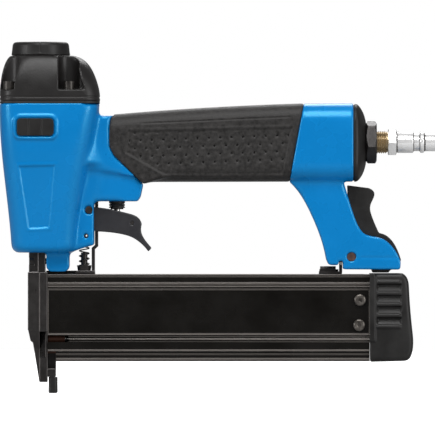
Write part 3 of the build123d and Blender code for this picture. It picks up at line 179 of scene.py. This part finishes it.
surface("blue_paint", (0.0, 0.205, 0.57), 0.27, coat=0.16, coat_rough=0.12, grain=(420.0, 0.00003),
        blotch=(18.0, 0.06), worn=(0.05, 0.36, 0.72), wear=0.6, spec=0.9, tint=(0.15, 0.8, 1.0))
surface("black_cast", (0.0085, 0.0075, 0.0072), 0.40, spec=0.42, grain=(1100.0, 0.00006), blotch=(30.0, 0.2),
        worn=(0.075, 0.070, 0.066), wear=0.6)
surface("black_plastic", (0.0080, 0.0074, 0.0070), 0.45, spec=0.38, grain=(1500.0, 0.00005),
        blotch=(50.0, 0.2), worn=(0.06, 0.056, 0.054), wear=0.5)
surface("grip_rubber", (0.0095, 0.0080, 0.0072), 0.55, spec=0.38, grain=(1300.0, 0.00012),
        blotch=(420.0, 0.5), sheen=0.08, dust=0.45)
# Darker rubber for the faces inside the dimples: painted shade
surface("grip_hole_painted_shade", (0.004, 0.0035, 0.0035), 0.8, spec=0.1, grain=(1300.0, 0.00005), blotch=(300.0, 0.2))
surface("screw_steel", (0.15, 0.135, 0.12), 0.32, metal=0.75, grain=(1500.0, 0.00002), blotch=(350.0, 0.5))
surface("screw_dark", (0.045, 0.040, 0.036), 0.36, metal=0.6, grain=(1500.0, 0.00002), blotch=(350.0, 0.4))
surface("pin_rust", (0.085, 0.045, 0.038), 0.45, metal=0.5, grain=(1500.0, 0.00003), blotch=(350.0, 0.5))
surface("seal_rubber", (0.012, 0.012, 0.012), 0.6, grain=(3000.0, 0.00002), blotch=(90.0, 0.2))
surface("urethane", (0.50, 0.20, 0.035), 0.4, coat=0.2, grain=(700.0, 0.00002), blotch=(60.0, 0.12))
surface("felt", (0.20, 0.19, 0.17), 0.95, spec=0.2, grain=(3500.0, 0.0002), blotch=(300.0, 0.3), sheen=0.5)
surface("anodised", (0.0032, 0.0024, 0.0015), 0.20, coat=0.08, coat_rough=0.07, spec=0.18,
        grain=(900.0, 0.000006), streak=(0.03, 1.0, 1.0), blotch=(35.0, 0.15))
surface("aluminium", (0.70, 0.70, 0.69), 0.34, metal=1.0, grain=(1800.0, 0.00001), blotch=(80.0, 0.06),
        streak=(1.0, 1.0, 0.06))
surface("blued_steel", (0.034, 0.031, 0.030), 0.34, metal=0.55, spec=0.4, grain=(1400.0, 0.00003),
        blotch=(90.0, 0.3), streak=(1.0, 1.0, 0.12))
# Lighter copies of the anodised and blued steel finishes for rounded edges: painted highlights
surface("anodised_painted_highlight", (0.155, 0.14, 0.128), 0.3, metal=0.3, grain=(1200.0, 0.000004), blotch=(30.0, 0.06),
        streak=(0.03, 1.0, 1.0))
surface("blued_painted_highlight", (0.13, 0.118, 0.114), 0.35, metal=0.4, grain=(1200.0, 0.00001), blotch=(160.0, 0.3))
surface("brass_thread", (0.46, 0.36, 0.22), 0.3, metal=0.7, grain=(1500.0, 0.00001), blotch=(160.0, 0.12))
surface("bright_steel", (0.60, 0.59, 0.57), 0.22, metal=1.0, grain=(1800.0, 0.00001), blotch=(90.0, 0.08),
        streak=(1.0, 0.08, 1.0))
surface("spring_steel", (0.075, 0.07, 0.066), 0.28, metal=0.9, grain=(2500.0, 0.00001), blotch=(250.0, 0.2))
surface("zinc_steel", (0.52, 0.52, 0.50), 0.3, metal=1.0, grain=(1600.0, 0.00002), blotch=(140.0, 0.12))
surface("nickel", (0.97, 0.965, 0.96), 0.17, metal=0.45, grain=(1500.0, 0.000002), blotch=(120.0, 0.04))
surface("bronze", (0.085, 0.032, 0.018), 0.4, metal=0.5, grain=(1600.0, 0.00001), blotch=(120.0, 0.12))
surface("trigger_grey", (0.022, 0.022, 0.026), 0.36, coat=0.12, coat_rough=0.25, grain=(1900.0, 0.00002),
        blotch=(60.0, 0.1), worn=(0.13, 0.13, 0.14), wear=0.6)

SUBPARTS = frame["record"]["subparts"]
NODE_SLOT = {row["node"]: row["material_slot"] for row in SUBPARTS if "material_slot" in row}
for name, obj in NODES.items():
    made = SLOTS.get(NODE_SLOT.get(name, ""))
    if made is not None:
        obj.data.materials.clear()
        obj.data.materials.append(made)


# ---------------------------------------------------------------- mesh tools
def cleaned(node):
    """A copy of a node's mesh with its seams joined and its flat faces whole."""
    bm = bmesh.new()
    bm.from_mesh(NODES[node].data)
    bmesh.ops.remove_doubles(bm, verts=bm.verts, dist=1e-6)
    points = [v.co[:] for v in bm.verts]
    bm.verts.index_update()
    faces = [[v.index for v in f.verts] for f in bm.faces]
    bm.free()
    mesh = bpy.data.meshes.new(node + "_copy")
    mesh.from_pydata(points, [], faces)
    return mesh


def applied(mesh, *modifiers):
    """The mesh after these modifiers, each a (type, settings) pair."""
    work = bpy.data.objects.new("work", mesh)
    bpy.context.scene.collection.objects.link(work)
    for index, (kind, settings) in enumerate(modifiers):
        modifier = work.modifiers.new(f"step_{index}", kind)
        for key, value in settings.items():
            setattr(modifier, key, value)
    bpy.context.view_layer.update()
    result = bpy.data.meshes.new_from_object(work.evaluated_get(bpy.context.evaluated_depsgraph_get()))
    bpy.data.objects.remove(work)
    return result


def points_of(mesh):
    flat = np.empty(len(mesh.vertices) * 3)
    mesh.vertices.foreach_get("co", flat)
    return flat.reshape(-1, 3) / MM


def normals_of(mesh):
    flat = np.empty(len(mesh.vertices) * 3)
    mesh.vertex_normals.foreach_get("vector", flat)
    return flat.reshape(-1, 3)


def put_points(mesh, points):
    mesh.vertices.foreach_set("co", (points * MM).ravel())
    mesh.update()


def relax(mesh, steps, share=None):
    """Evens the surface out step by step, which rounds its edges.

    share limits how far each point follows.
    """
    ends = np.empty(len(mesh.edges) * 2, dtype=np.int64)
    mesh.edges.foreach_get("vertices", ends)
    first, second = ends.reshape(-1, 2).T
    points = points_of(mesh)
    total = len(points)
    count = np.maximum(np.bincount(first, minlength=total) + np.bincount(second, minlength=total), 1)
    follow = 0.5 if share is None else 0.5 * share[:, None]
    for _ in range(steps):
        around = np.stack(
            [
                np.bincount(first, points[second, k], total) + np.bincount(second, points[first, k], total)
                for k in range(3)
            ],
            axis=1,
        ) / count[:, None]
        points = points + follow * (around - points)
    put_points(mesh, points)


def smoothly(value, low, high):
    """0 below low, 1 above high, and an even rise between them."""
    t = np.clip((value - low) / (high - low), 0.0, 1.0)
    return t * t * (3 - 2 * t)


def inside(points, outline):
    """How deep each (x, z) point lies inside a convex outline, given anticlockwise."""
    depth = np.full(len(points), 1e9)
    for (ax, az), (bx, bz) in zip(outline, outline[1:] + outline[:1]):
        length = math.hypot(bx - ax, bz - az)
        across = (bx - ax) * (points[:, 1] - az) - (bz - az) * (points[:, 0] - ax)
        depth = np.minimum(depth, across / length)
    return depth


def skin(node, voxel, steps):
    """An even skin over a node with softly rounded edges."""
    mesh = applied(cleaned(node), ("REMESH", {"mode": "VOXEL", "voxel_size": voxel * MM}))
    relax(mesh, steps)
    return mesh


FLAT_ANGLE = math.radians(0.6)  # faces that meet at less are one face
CORNER_ANGLE = math.radians(28)  # edges that are rounded
SHARP_ANGLE = math.radians(14)  # edges that still shade as sharp after that


def crisp(node, width, least=1.5, segments=2):
    """A node's own shape with its longer edges rounded, so that they catch the light.

    The rounded faces have the second material, which for anodised and blued steel is a lighter painted
    highlight.
    """
    bm = bmesh.new()
    bm.from_mesh(cleaned(node))
    bmesh.ops.dissolve_limit(bm, angle_limit=FLAT_ANGLE, verts=bm.verts, edges=bm.edges)
    edges = [
        edge
        for edge in bm.edges
        if len(edge.link_faces) == 2
        and edge.calc_face_angle(0.0) > CORNER_ANGLE
        and edge.calc_length() > least * MM
    ]
    bmesh.ops.bevel(
        bm, geom=edges, offset=width * MM, segments=segments, profile=0.5, affect="EDGES", material=1
    )
    mesh = bpy.data.meshes.new(node + "_whole")
    bm.to_mesh(mesh)
    bm.free()
    for polygon in mesh.polygons:
        polygon.use_smooth = True
    mesh.set_sharp_from_angle(angle=SHARP_ANGLE)
    return mesh


# The finish of a piece's second material: lighter rounded edges as painted highlights, its brass thread, or
# darker dimple holes as painted shade
EDGES = {
    "anodised": "anodised_painted_highlight",
    "blued_steel": "blued_painted_highlight",
    "nickel": "brass_thread",
    "grip_rubber": "grip_hole_painted_shade",
}


def piece(name, mesh, slot, body, *nodes, smooth=True, finish=None):
    """Makes an object of a mesh, in its finish, on its body, in place of the nodes."""
    mesh.name = name
    obj = bpy.data.objects.new(name, mesh)
    bpy.context.scene.collection.objects.link(obj)
    finishes = [polygon.material_index for polygon in mesh.polygons]
    finish = finish or slot
    mesh.materials.clear()
    mesh.materials.append(SLOTS[finish])
    if max(finishes):
        mesh.materials.append(SLOTS[EDGES.get(finish, finish)])
        mesh.polygons.foreach_set("material_index", finishes)
    if smooth:
        for polygon in mesh.polygons:
            polygon.use_smooth = True
    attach(obj, body)
    if nodes:
        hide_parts(*nodes)
    return obj


def thinned(mesh, faces):
    """The mesh with at most about this many triangles."""
    triangles = 2 * len(mesh.polygons)
    if triangles <= faces:
        return mesh
    return applied(mesh, ("DECIMATE", {"ratio": faces / triangles}))


# ---------------------------------------------------------------- housing
MOST_FACES = 190000  # the most triangles that a piece is thinned down to; the export keeps a piece whole below 200 000 triangles
casting = skin("main_housing", 0.8, 4)
# The root of the handle, where the cast neck flows into the barrel
at = points_of(casting)
outside = 1.0 - smoothly(-np.abs(at[:, 1]), -9.0, -7.5)
neck = (
    smoothly(at[:, 0], 27.0, 30.0)
    * (1 - smoothly(at[:, 0], 50.0, 56.0))
    * smoothly(at[:, 2], 118.0, 124.0)
    * outside
)
relax(casting, 30, share=neck)
at = points_of(casting)
# The roots of the rear strut and of the lug under the barrel
rear_root = (
    smoothly(at[:, 0], 168.0, 176.0)
    * (1 - smoothly(at[:, 0], 206.5, 208.0))
    * smoothly(at[:, 2], 128.0, 134.0)
    * (1 - smoothly(at[:, 2], 156.0, 164.0))
    * smoothly(np.abs(at[:, 1]), 8.0, 10.0)
)
lug_root = (
    (1 - smoothly(at[:, 0], 32.0, 35.0))
    * smoothly(at[:, 2], 84.0, 88.0)
    * (1 - smoothly(at[:, 2], 104.0, 112.0))
    * smoothly(np.hypot(at[:, 0], at[:, 1]), 18.0, 20.0)
)
relax(casting, 22, share=np.maximum(rear_root, 0.6 * lug_root))
at = points_of(casting)
facing = normals_of(casting)
# A blank sunk field on the near side, with a raised lip round it
blank_field = [(-8.6, 110.0), (5.4, 110.7), (9.1, 152.4), (-14.8, 151.8)]
field_depth, field_lip = 0.7, 0.42
depth = inside(at[:, [0, 2]], blank_field)
near_side = (at[:, 1] < -19.0) & (facing[:, 1] < -0.5)
lip = field_lip * np.exp(-(((depth + 0.9) / 0.75) ** 2))
at[:, 1] += np.where(near_side, field_depth * smoothly(depth, -0.3, 0.9) - lip, 0.0)
# A raised line round each side pad
pads_low, pads_high = corners("side_pads")
pad_middle = (pads_low + pads_high) / 2
pad_corner, pad_border, pad_rise = 2.5, 2.0, 0.6
pad_reach = (pads_high - pads_low) / 2 - pad_corner
off_x = np.maximum(np.abs(at[:, 0] - pad_middle[0]) - pad_reach[0], 0.0)
off_z = np.maximum(np.abs(at[:, 2] - pad_middle[2]) - pad_reach[2], 0.0)
pad_line = np.exp(-(((np.hypot(off_x, off_z) - pad_corner - pad_border) / 0.7) ** 2))
pad_line *= (np.abs(facing[:, 1]) > 0.5) & (np.abs(at[:, 1]) > 20.0)
at[:, 1] += pad_rise * np.sign(at[:, 1]) * pad_line
# A shallow step above the foot, and the rim in front of the rear edge of the grip
step_height, step_depth = 90.6, 0.45
foot_step = step_depth * np.exp(-(((at[:, 2] - step_height) / 0.6) ** 2))
foot_step *= smoothly(at[:, 0], 211.0, 214.0) * (np.abs(at[:, 1]) > 10.0)
grip_slant, rim_width, rim_depth = 9.6, 2.6, 0.3
rim_x = grip_high[0] - grip_slant * (1 - (at[:, 2] - grip_low[2]) / (shoulder - grip_low[2]))
rim = rim_depth * np.exp(-(((at[:, 0] - rim_x - rim_width) / 0.55) ** 2)) * (np.abs(at[:, 1]) > 15.0)
at -= facing * (foot_step + rim)[:, None]
put_points(casting, at)
piece("housing_casting", thinned(casting, MOST_FACES), "blue_paint", "housing", "main_housing")

# ---------------------------------------------------------------- head
head = skin("cylinder_head", 0.62, 4)
at = points_of(head)
facing = normals_of(head)
# A seam line round the head, above its joint with the housing
seam_height, seam_depth = 2.9, 0.45
upright = np.abs(facing[:, 2]) < 0.5
outer = (np.abs(at[:, 1]) > barrel_half - 3.5) | (at[:, 0] < -24.0) | (at[:, 0] > 33.0)
seam = np.exp(-(((at[:, 2] - head_low[2] - seam_height) / 0.45) ** 2))
at -= facing * (seam_depth * seam * (upright & outer))[:, None]
put_points(head, at)
piece("head_moulding", head, "black_cast", "housing", "cylinder_head")

deflector = skin("exhaust_cap", 0.42, 3)
at = points_of(deflector)
facing = normals_of(deflector)
# A moulding line down the near side of the cap's rim
split_depth, rim_radius, rim_foot = 0.4, 15.5, 1.6
middle = (cap_low[0] + cap_high[0]) / 2
rim = np.hypot(at[:, 0] - middle, at[:, 1]) > rim_radius
split = np.exp(-(((at[:, 0] - middle) / 0.35) ** 2)) * (at[:, 1] < -10.0)
at -= facing * (split_depth * split * rim * (at[:, 2] > cap_low[2] + rim_foot))[:, None]
put_points(deflector, at)
piece("exhaust_deflector", deflector, "black_plastic", "exhaust", "exhaust_cap")

piece("grip_pads", skin("side_pads", 0.3, 3), "black_plastic", "housing", "side_pads")

# ---------------------------------------------------------------- grip
grip = skin("grip_sleeve", 0.55, 5)
at = points_of(grip)
# The lower front corner is rounded more, outside the tube that it sits on
height = at[:, 2] - grip_low[2]
low_corner = (1 - smoothly(at[:, 0], 96.0, 116.0)) * (1 - smoothly(height, 10.0, 18.0))
low_corner *= np.hypot(at[:, 1] / 14.0, (height - 27.0) / 23.0) > 1.0
relax(grip, 60, share=low_corner * smoothly(at[:, 0] - 0.9 * (140.0 - at[:, 2]), 66.0, 72.0))
at = points_of(grip)
facing = normals_of(grip)
side_face = smoothly(np.abs(facing[:, 1]), 0.45, 0.75) * (np.abs(at[:, 1]) > 10.0)
panel = [
    (82.0, grip_low[2] + 6.2),
    (161.0, grip_low[2] + 6.4),
    (167.5, grip_low[2] + 37.5),
    (58.5, grip_low[2] + 35.0),
    (56.0, grip_low[2] + 21.0),
]
depth = inside(at[:, [0, 2]], panel)
panel_depth, panel_lip = 0.55, 0.22
sunk = panel_depth * smoothly(depth, -0.4, 0.7)
lip = -panel_lip * np.exp(-(((depth + 1.1) / 0.8) ** 2))
# The parting line above the panel
parting_depth, parting_height, parting_slope = 0.35, 40.6, 0.045
parting_z = grip_low[2] + parting_height + parting_slope * (at[:, 0] - 72.0)
parting = parting_depth * np.exp(-(((at[:, 2] - parting_z) / 0.42) ** 2))
parting *= smoothly(at[:, 0], 64.0, 70.0) * (1 - smoothly(at[:, 0], 164.0, 168.0))
# Staggered rows of dimples, along the grip's slope
dimple_pitch, dimple_rows, row_gap, row_slope = 7.6, 5, 5.35, 0.035
dimple_radius, dimple_depth = 1.05, 0.8
first_x, first_row = 70.0, 13.2
row = (at[:, 2] - (grip_low[2] + first_row) - row_slope * (at[:, 0] - first_x)) / row_gap
near_row = np.clip(np.round(row), 0, dimple_rows - 1)
along = (at[:, 0] - first_x) / dimple_pitch + 0.5 * (near_row % 2)
near_hole = np.round(along)
miss = np.hypot((along - near_hole) * dimple_pitch, (row - near_row) * row_gap)
dimples = dimple_depth * np.exp(-((miss / dimple_radius) ** 2)) * smoothly(depth, 0.5, 1.3)
# A faint moulded ripple between them
ripple_depth = 0.12
waves = ripple_depth * np.sin(at[:, 0] / 2.3 + 0.9 * np.sin(at[:, 2] / 3.1)) * smoothly(depth, 2.0, 6.0)
at -= facing * (side_face * (sunk + lip + parting + dimples + waves))[:, None]
put_points(grip, at)
# Faces deep in the dimples take the darker rubber as painted shade
hole = (dimples > 0.3) & (side_face > 0.5)
for polygon in grip.polygons:
    if hole[list(polygon.vertices)].all():
        polygon.material_index = 1
for finish in ("grip_rubber", "grip_hole_painted_shade"):
    grip.materials.append(SLOTS[finish])
piece("grip_cover", thinned(grip, MOST_FACES + 6000), "grip_rubber", "housing", "grip_sleeve")

tail_cap = skin("end_cap", 0.6, 6)
at = points_of(tail_cap)
tail_low, tail_high = corners("end_cap")
tail_middle = (tail_low + tail_high) / 2
rim_share = np.hypot(
    (at[:, 1] - tail_middle[1]) / (tail_high[1] - tail_low[1]),
    (at[:, 2] - tail_middle[2]) / (tail_high[2] - tail_low[2]),
) * 2
# The cap stands less proud towards its rim, so that its face is a dome
cap_proud, dome_share = 8.1, 0.42
dome = smoothly(rim_share, 0.45, 1.05)
base = tail_high[0] - cap_proud
at[:, 0] = np.where(at[:, 0] > base, base + (at[:, 0] - base) * (1 - dome_share * dome), at[:, 0])
put_points(tail_cap, at)
piece("tail_cap", tail_cap, "black_plastic", "housing", "end_cap")

# ---------------------------------------------------------------- magazine
for name, node, body in (
    ("magazine_near_shell", "magazine_cover", "magazine"),
    ("magazine_far_shell", "fixed_magazine", "housing"),
):
    piece(name, crisp(node, 0.55, least=20.0, segments=3), "anodised", body, node, smooth=False)

rear = skin("rear_cap", 0.55, 3)
at = points_of(rear)
facing = normals_of(rear)
rear_low, rear_high = corners("rear_cap")
# Finger ribs on both sides: each hollow falls off steeply and rises slowly to the next rib
rib_pitch, rib_count, rib_depth = 7.45, 4, 2.0
rib_top = rear_high[2] - 6.0
phase = (rib_top - at[:, 2]) / rib_pitch
part = phase % 1.0
between = smoothly(part, 0.1, 0.26) * (1 - smoothly(part, 0.3, 0.92))
field = (
    smoothly(at[:, 0], rear_low[0] + 18.5, rear_low[0] + 19.6)
    * (1 - smoothly(at[:, 0], rear_high[0] - 9.0, rear_high[0] - 7.5))
    * ((phase > 0) & (phase < rib_count))
    * (np.abs(at[:, 1]) > 10.5)
    * smoothly(np.abs(facing[:, 1]), 0.5, 0.8)
)
at[:, 1] -= np.sign(at[:, 1]) * rib_depth * field * between
put_points(rear, at)
piece("magazine_end_cap", rear, "black_plastic", "magazine", "rear_cap")

# ---------------------------------------------------------------- trigger and latch
piece("trigger_shell", skin("trigger", 0.36, 8), "trigger_grey", "trigger_group", "trigger")
piece("release_lever", skin("latch_lever", 0.42, 4), "black_plastic", "latch", "latch_lever")

# ---------------------------------------------------------------- nose, links and screws
for node, body, width, finish in (
    ("nose_front_plate", "housing", 0.35, None),
    ("driver_guide", "housing", 0.3, None),
    ("contact_arm", "safety", 0.25, None),
    ("contact_tip", "safety", 0.25, None),
    ("upper_link", "safety", 0.2, None),
    ("head_screws", "housing", 0.4, "screw_dark"),
    ("nose_screws", "housing", 0.2, None),
    ("magazine_screws", "magazine", 0.25, "screw_steel"),
    ("trigger_pin", "housing", 0.3, "screw_dark"),
    ("latch_pin", "housing", 0.4, "pin_rust"),
):
    piece(node + "_finished", crisp(node, width), NODE_SLOT[node], body, node, smooth=False, finish=finish)
for node in ("magazine_bracket", "bracket_screws", "roll_pin"):
    NODES[node].data.materials.clear()
    NODES[node].data.materials.append(SLOTS["screw_dark" if node == "roll_pin" else "blued_steel"])


# ---------------------------------------------------------------- turned pieces
BORE_SIDE = 5.0  # faces nearer to the axis than this are in the bore


def lathe(rows, around=144, thread=(0.0, 0.0)):
    """A mesh of rings round the X axis. Each row is (x, a function of the angle that gives the radius).

    Outer faces between the thread's two places have the second material.
    """
    angles = np.arange(around) * 2 * math.pi / around
    points, faces = [], []
    for x, radius in rows:
        r = np.array([radius(a) for a in angles])
        points.extend(zip(np.full(around, x), r * np.cos(angles), r * np.sin(angles)))
    count = len(rows)
    for i in range(count):
        j = (i + 1) % count
        for k in range(around):
            m = (k + 1) % around
            faces.append((i * around + k, j * around + k, j * around + m, i * around + m))
    mesh = bpy.data.meshes.new("turned")
    mesh.from_pydata([(x * MM, y * MM, (z + plug_z) * MM) for x, y, z in points], [], faces)
    bm = bmesh.new()
    bm.from_mesh(mesh)
    bmesh.ops.recalc_face_normals(bm, faces=bm.faces)
    bm.to_mesh(mesh)
    bm.free()
    for polygon in mesh.polygons:
        polygon.use_smooth = True
        x, y, z = (value / MM for value in polygon.center)
        if thread[0] < x < thread[1] and math.hypot(y, z - plug_z) > BORE_SIDE:
            polygon.material_index = 1
    mesh.set_sharp_from_angle(angle=math.radians(32))
    return mesh


def plain(radius):
    return lambda angle: radius


def hexagon(half, turn, limit):
    """The radius of a hexagon with this half width across its flats, cut to a round limit."""

    def radius(angle):
        part = (angle - turn) % (math.pi / 3) - math.pi / 6
        return min(half / math.cos(part), limit)

    return radius


def hex_rows(low, high, half, turn, cut):
    """Rows of a hexagon bar whose corners are turned off to a cone at both ends."""
    corner = half / math.cos(math.pi / 6)
    end = half * 0.97
    steps = 6
    rows = []
    for place, way, shares in ((low, 1, range(steps + 1)), (high, -1, range(steps, -1, -1))):
        for step in shares:
            share = step / steps
            rows.append((place + way * cut * share, hexagon(half, turn, end + (corner - end) * share)))
    return rows


def rounded_step(x_low, x_high, radius, corner, round_low=True):
    """Rows of a cylinder with rounded ends, or with only its higher end rounded."""
    rounding = [
        (corner * (1 - math.sin(turn)), plain(radius - corner * (1 - math.cos(turn))))
        for turn in (math.pi / 2 * k / 5 for k in range(6))
    ]
    if round_low:
        rows = [(x_low + inset, edge) for inset, edge in rounding[::-1]]
    else:
        rows = [(x_low, plain(radius))]
    return rows + [(x_high - inset, edge) for inset, edge in rounding]


face = adapter_high[0] - 7.0  # rear face of the end cap
thread_end = face + 14.6
thread_pitch, thread_root, thread_crest = 1.34, 6.75, 7.62
rows_per_turn = 8
run_out = thread_end - 0.6  # where the thread fades into its relief
thread_rows = []
x = plug_low[0] + 0.2
while x < run_out:
    fade = min(1.0, (x - plug_low[0]) / 1.2, run_out - x + 0.15)

    def ridge(angle, x=x, fade=fade):
        wave = abs(((x / thread_pitch - angle / (2 * math.pi)) % 1.0) * 2 - 1)
        return thread_root + (thread_crest - thread_root) * fade * wave

    thread_rows.append((x, ridge))
    x += thread_pitch / rows_per_turn
bore = 3.6
plug_rows = [(plug_low[0], plain(bore)), (plug_low[0], plain(thread_root - 0.3))]
plug_rows += thread_rows
plug_rows += [(thread_end - 0.5, plain(thread_root - 0.25)), (thread_end, plain(thread_root - 0.25))]
hex_end = thread_end + 5.5
plug_flats = 8.5  # half of 17 mm
plug_rows += hex_rows(thread_end, hex_end, plug_flats, 0.0, 0.9)
plug_rows += rounded_step(hex_end + 0.5, hex_end + 11.5, 7.15, 0.7)
plug_rows += [(hex_end + 11.9, plain(5.95)), (hex_end + 15.5, plain(5.95))]
plug_rows += rounded_step(hex_end + 15.9, hex_end + 18.7, 7.1, 0.9)
plug_rows += [(hex_end + 19.2, plain(6.0))]
plug_rows += rounded_step(hex_end + 19.6, plug_high[0], 6.0, 1.3, round_low=False)
plug_rows += [(plug_high[0], plain(bore + 0.5)), (plug_high[0] - 0.5, plain(bore))]
turned_plug = lathe(plug_rows, thread=(plug_low[0], thread_end))
plug = piece("air_plug_turned", turned_plug, "nickel", "housing", "air_plug")
# The grooves' side faces take the dark screw material: painted shade in the grooves
plug.data.materials.append(SLOTS["screw_dark"])
painted_shade_grooves = ((0.0, 0.6), (11.4, 12.0), (15.4, 16.0), (18.6, 19.7))
for polygon in plug.data.polygons:
    x = polygon.center[0] / MM
    if any(hex_end + low <= x <= hex_end + high for low, high in painted_shade_grooves):
        polygon.material_index = 2

adapter_rows = [(adapter_low[0], plain(7.75)), (adapter_low[0], plain(9.5)), (face, plain(9.5))]
adapter_rows += hex_rows(face, adapter_high[0], 13.0, math.radians(13), 1.2)
adapter_rows += [(adapter_high[0], plain(8.3)), (adapter_high[0] - 0.5, plain(7.75))]
piece("air_adapter_turned", lathe(adapter_rows), "blued_steel", "housing", "air_adapter")


# ---------------------------------------------------------------- springs
def coil(name, node, axis, radius, wire, turns, body, fixed_end):
    """A compression spring with closed ends, in its node's place.

    Its fixed end is the high one along the axis or the low one; that end is worked out but not used.
    """
    low, high = corners(node)
    centre = (low + high) / 2
    start, end = low[axis] + wire / 2, high[axis] - wire / 2
    closed, sides, per_turn = 0.8, 10, 26
    total = turns + 2 * closed
    steps = int(total * per_turn)
    turn = np.linspace(0, total, steps + 1)
    rise = np.minimum(turn, closed) * wire + np.maximum(turn - total + closed, 0) * wire
    open_rise = (end - start - 2 * closed * wire) / turns
    rise += np.clip(turn - closed, 0, turns) * open_rise
    angle = 2 * math.pi * turn
    path = np.stack([radius * np.cos(angle), radius * np.sin(angle), rise + start], axis=1)
    tangent = np.gradient(path, axis=0)
    tangent /= np.linalg.norm(tangent, axis=1)[:, None]
    outward = np.stack([np.cos(angle), np.sin(angle), np.zeros_like(angle)], axis=1)
    across = np.cross(tangent, outward)
    points, faces = [], []
    for i in range(steps + 1):
        for k in range(sides):
            a = 2 * math.pi * k / sides
            points.append(path[i] + wire / 2 * (math.cos(a) * outward[i] + math.sin(a) * across[i]))
    for i in range(steps):
        for k in range(sides):
            m = (k + 1) % sides
            faces.append((i * sides + k, i * sides + m, (i + 1) * sides + m, (i + 1) * sides + k))
    faces.append(tuple(range(sides))[::-1])
    faces.append(tuple(steps * sides + k for k in range(sides)))
    turned = np.array(points)
    if axis == 0:
        turned = turned[:, [2, 0, 1]]
    shift = centre.copy()
    shift[axis] = 0.0
    mesh = bpy.data.meshes.new(name)
    mesh.from_pydata([tuple(p) for p in (turned + shift) * MM], [], faces)
    bm = bmesh.new()
    bm.from_mesh(mesh)
    bmesh.ops.recalc_face_normals(bm, faces=bm.faces)
    bm.to_mesh(mesh)
    bm.free()
    spring = piece(name, mesh, "spring_steel", body, node)
    anchor = centre.copy()
    anchor[axis] = high[axis] if fixed_end > 0 else low[axis]
    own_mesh(spring)


X, Z = 0, 2
HIGH, LOW = 1, -1
coil("safety_coil", "safety_spring", Z, 3.2, 0.9, 4, "housing", HIGH)
coil("latch_coil", "latch_spring", X, 2.6, 0.8, 4, "housing", LOW)
coil("pusher_coil", "pusher_spring", X, 2.7, 0.7, 30, "magazine", HIGH)
coil("valve_coil", "valve_spring", Z, 2.75, 0.6, 4, "housing", HIGH)
coil("head_valve_coil", "head_valve_spring", Z, 12.8, 1.6, 1.5, "housing", HIGH)

# ---------------------------------------------------------------- stage, light and camera
floor_mesh = bpy.data.meshes.new("floor")
floor_radius, floor_sides = 1.6, 96
turns = np.linspace(0, 2 * math.pi, floor_sides, endpoint=False)
ring = [(floor_radius * math.cos(a), floor_radius * math.sin(a), 0.0) for a in turns]
floor_mesh.from_pydata(ring, [], [tuple(range(floor_sides))])
floor = bpy.data.objects.new("floor", floor_mesh)
bpy.context.scene.collection.objects.link(floor)
# Bright paper for the camera, and duller for the light that it throws back on the tool
paper = bpy.data.materials.new("floor_paper")
paper.use_nodes = True
paper_shader = paper.node_tree.nodes["Principled BSDF"]
paper_shader.inputs["Roughness"].default_value = 0.9
paper_shader.inputs["Specular IOR Level"].default_value = 0.1
paper_shader.inputs["Emission Color"].default_value = (1.0, 1.0, 1.0, 1.0)
paper_tree = paper.node_tree
paper_ray = paper_tree.nodes.new("ShaderNodeLightPath").outputs["Is Camera Ray"]
glow = ranged(paper_tree, paper_ray, 0.0, 1.0, 0.0, 0.72)
paper_tree.links.new(glow, paper_shader.inputs["Emission Strength"])
spot = paper_tree.nodes.new("ShaderNodeTexCoord").outputs["Object"]
white = mixed(paper_tree, noise(paper_tree, spot, 6.0), (0.86, 0.86, 0.86), (0.90, 0.90, 0.90))
shade = mixed(paper_tree, paper_ray, (0.42, 0.42, 0.42), white)
paper_tree.links.new(shade, paper_shader.inputs["Base Color"])
floor_mesh.materials.append(paper)

scene = bpy.context.scene
scene.view_settings.view_transform = "Standard"
world = bpy.data.worlds.new("studio")
scene.world = world
world.use_nodes = True
background = world.node_tree.nodes["Background"]
ray = world.node_tree.nodes.new("ShaderNodeLightPath").outputs["Is Camera Ray"]
brightness = ranged(world.node_tree, ray, 0.0, 1.0, 0.17, 1.0)
world.node_tree.links.new(brightness, background.inputs["Strength"])
background.inputs["Color"].default_value = (1.0, 1.0, 1.0, 1.0)


LIT_PLACE = Vector((0.1, 0.0, 0.1))


def softbox(name, place, power, size):
    """A square area light that faces the middle of the nailer."""
    light = bpy.data.lights.new(name, "AREA")
    light.energy = power
    light.size = size
    obj = bpy.data.objects.new(name, light)
    scene.collection.objects.link(obj)
    obj.location = place
    obj.visible_camera = False
    obj.rotation_euler = (LIT_PLACE - Vector(place)).to_track_quat("-Z", "Y").to_euler()


softbox("key", (0.1, -0.95, 1.35), 18.0, 0.9)
softbox("left", (-1.5, -0.8, 0.45), 9.0, 0.6)
softbox("right", (1.4, -1.1, 0.35), 9.0, 0.8)
softbox("back", (0.2, 1.2, 1.3), 13.0, 1.0)

camera_data = bpy.data.cameras.new("camera")
camera = bpy.data.objects.new("camera", camera_data)
scene.collection.objects.link(camera)
camera_distance = 5.0
frame_width = 0.2915  # what the picture spans at the tool
frame_middle = 0.1176  # along X and up, in the picture's middle
sensor_width = 36.0
camera_data.sensor_width = sensor_width
camera_data.lens = sensor_width * camera_distance / frame_width
camera.location = (frame_middle, -camera_distance, frame_middle)
camera.rotation_euler = (math.pi / 2, 0.0, 0.0)
scene.camera = camera
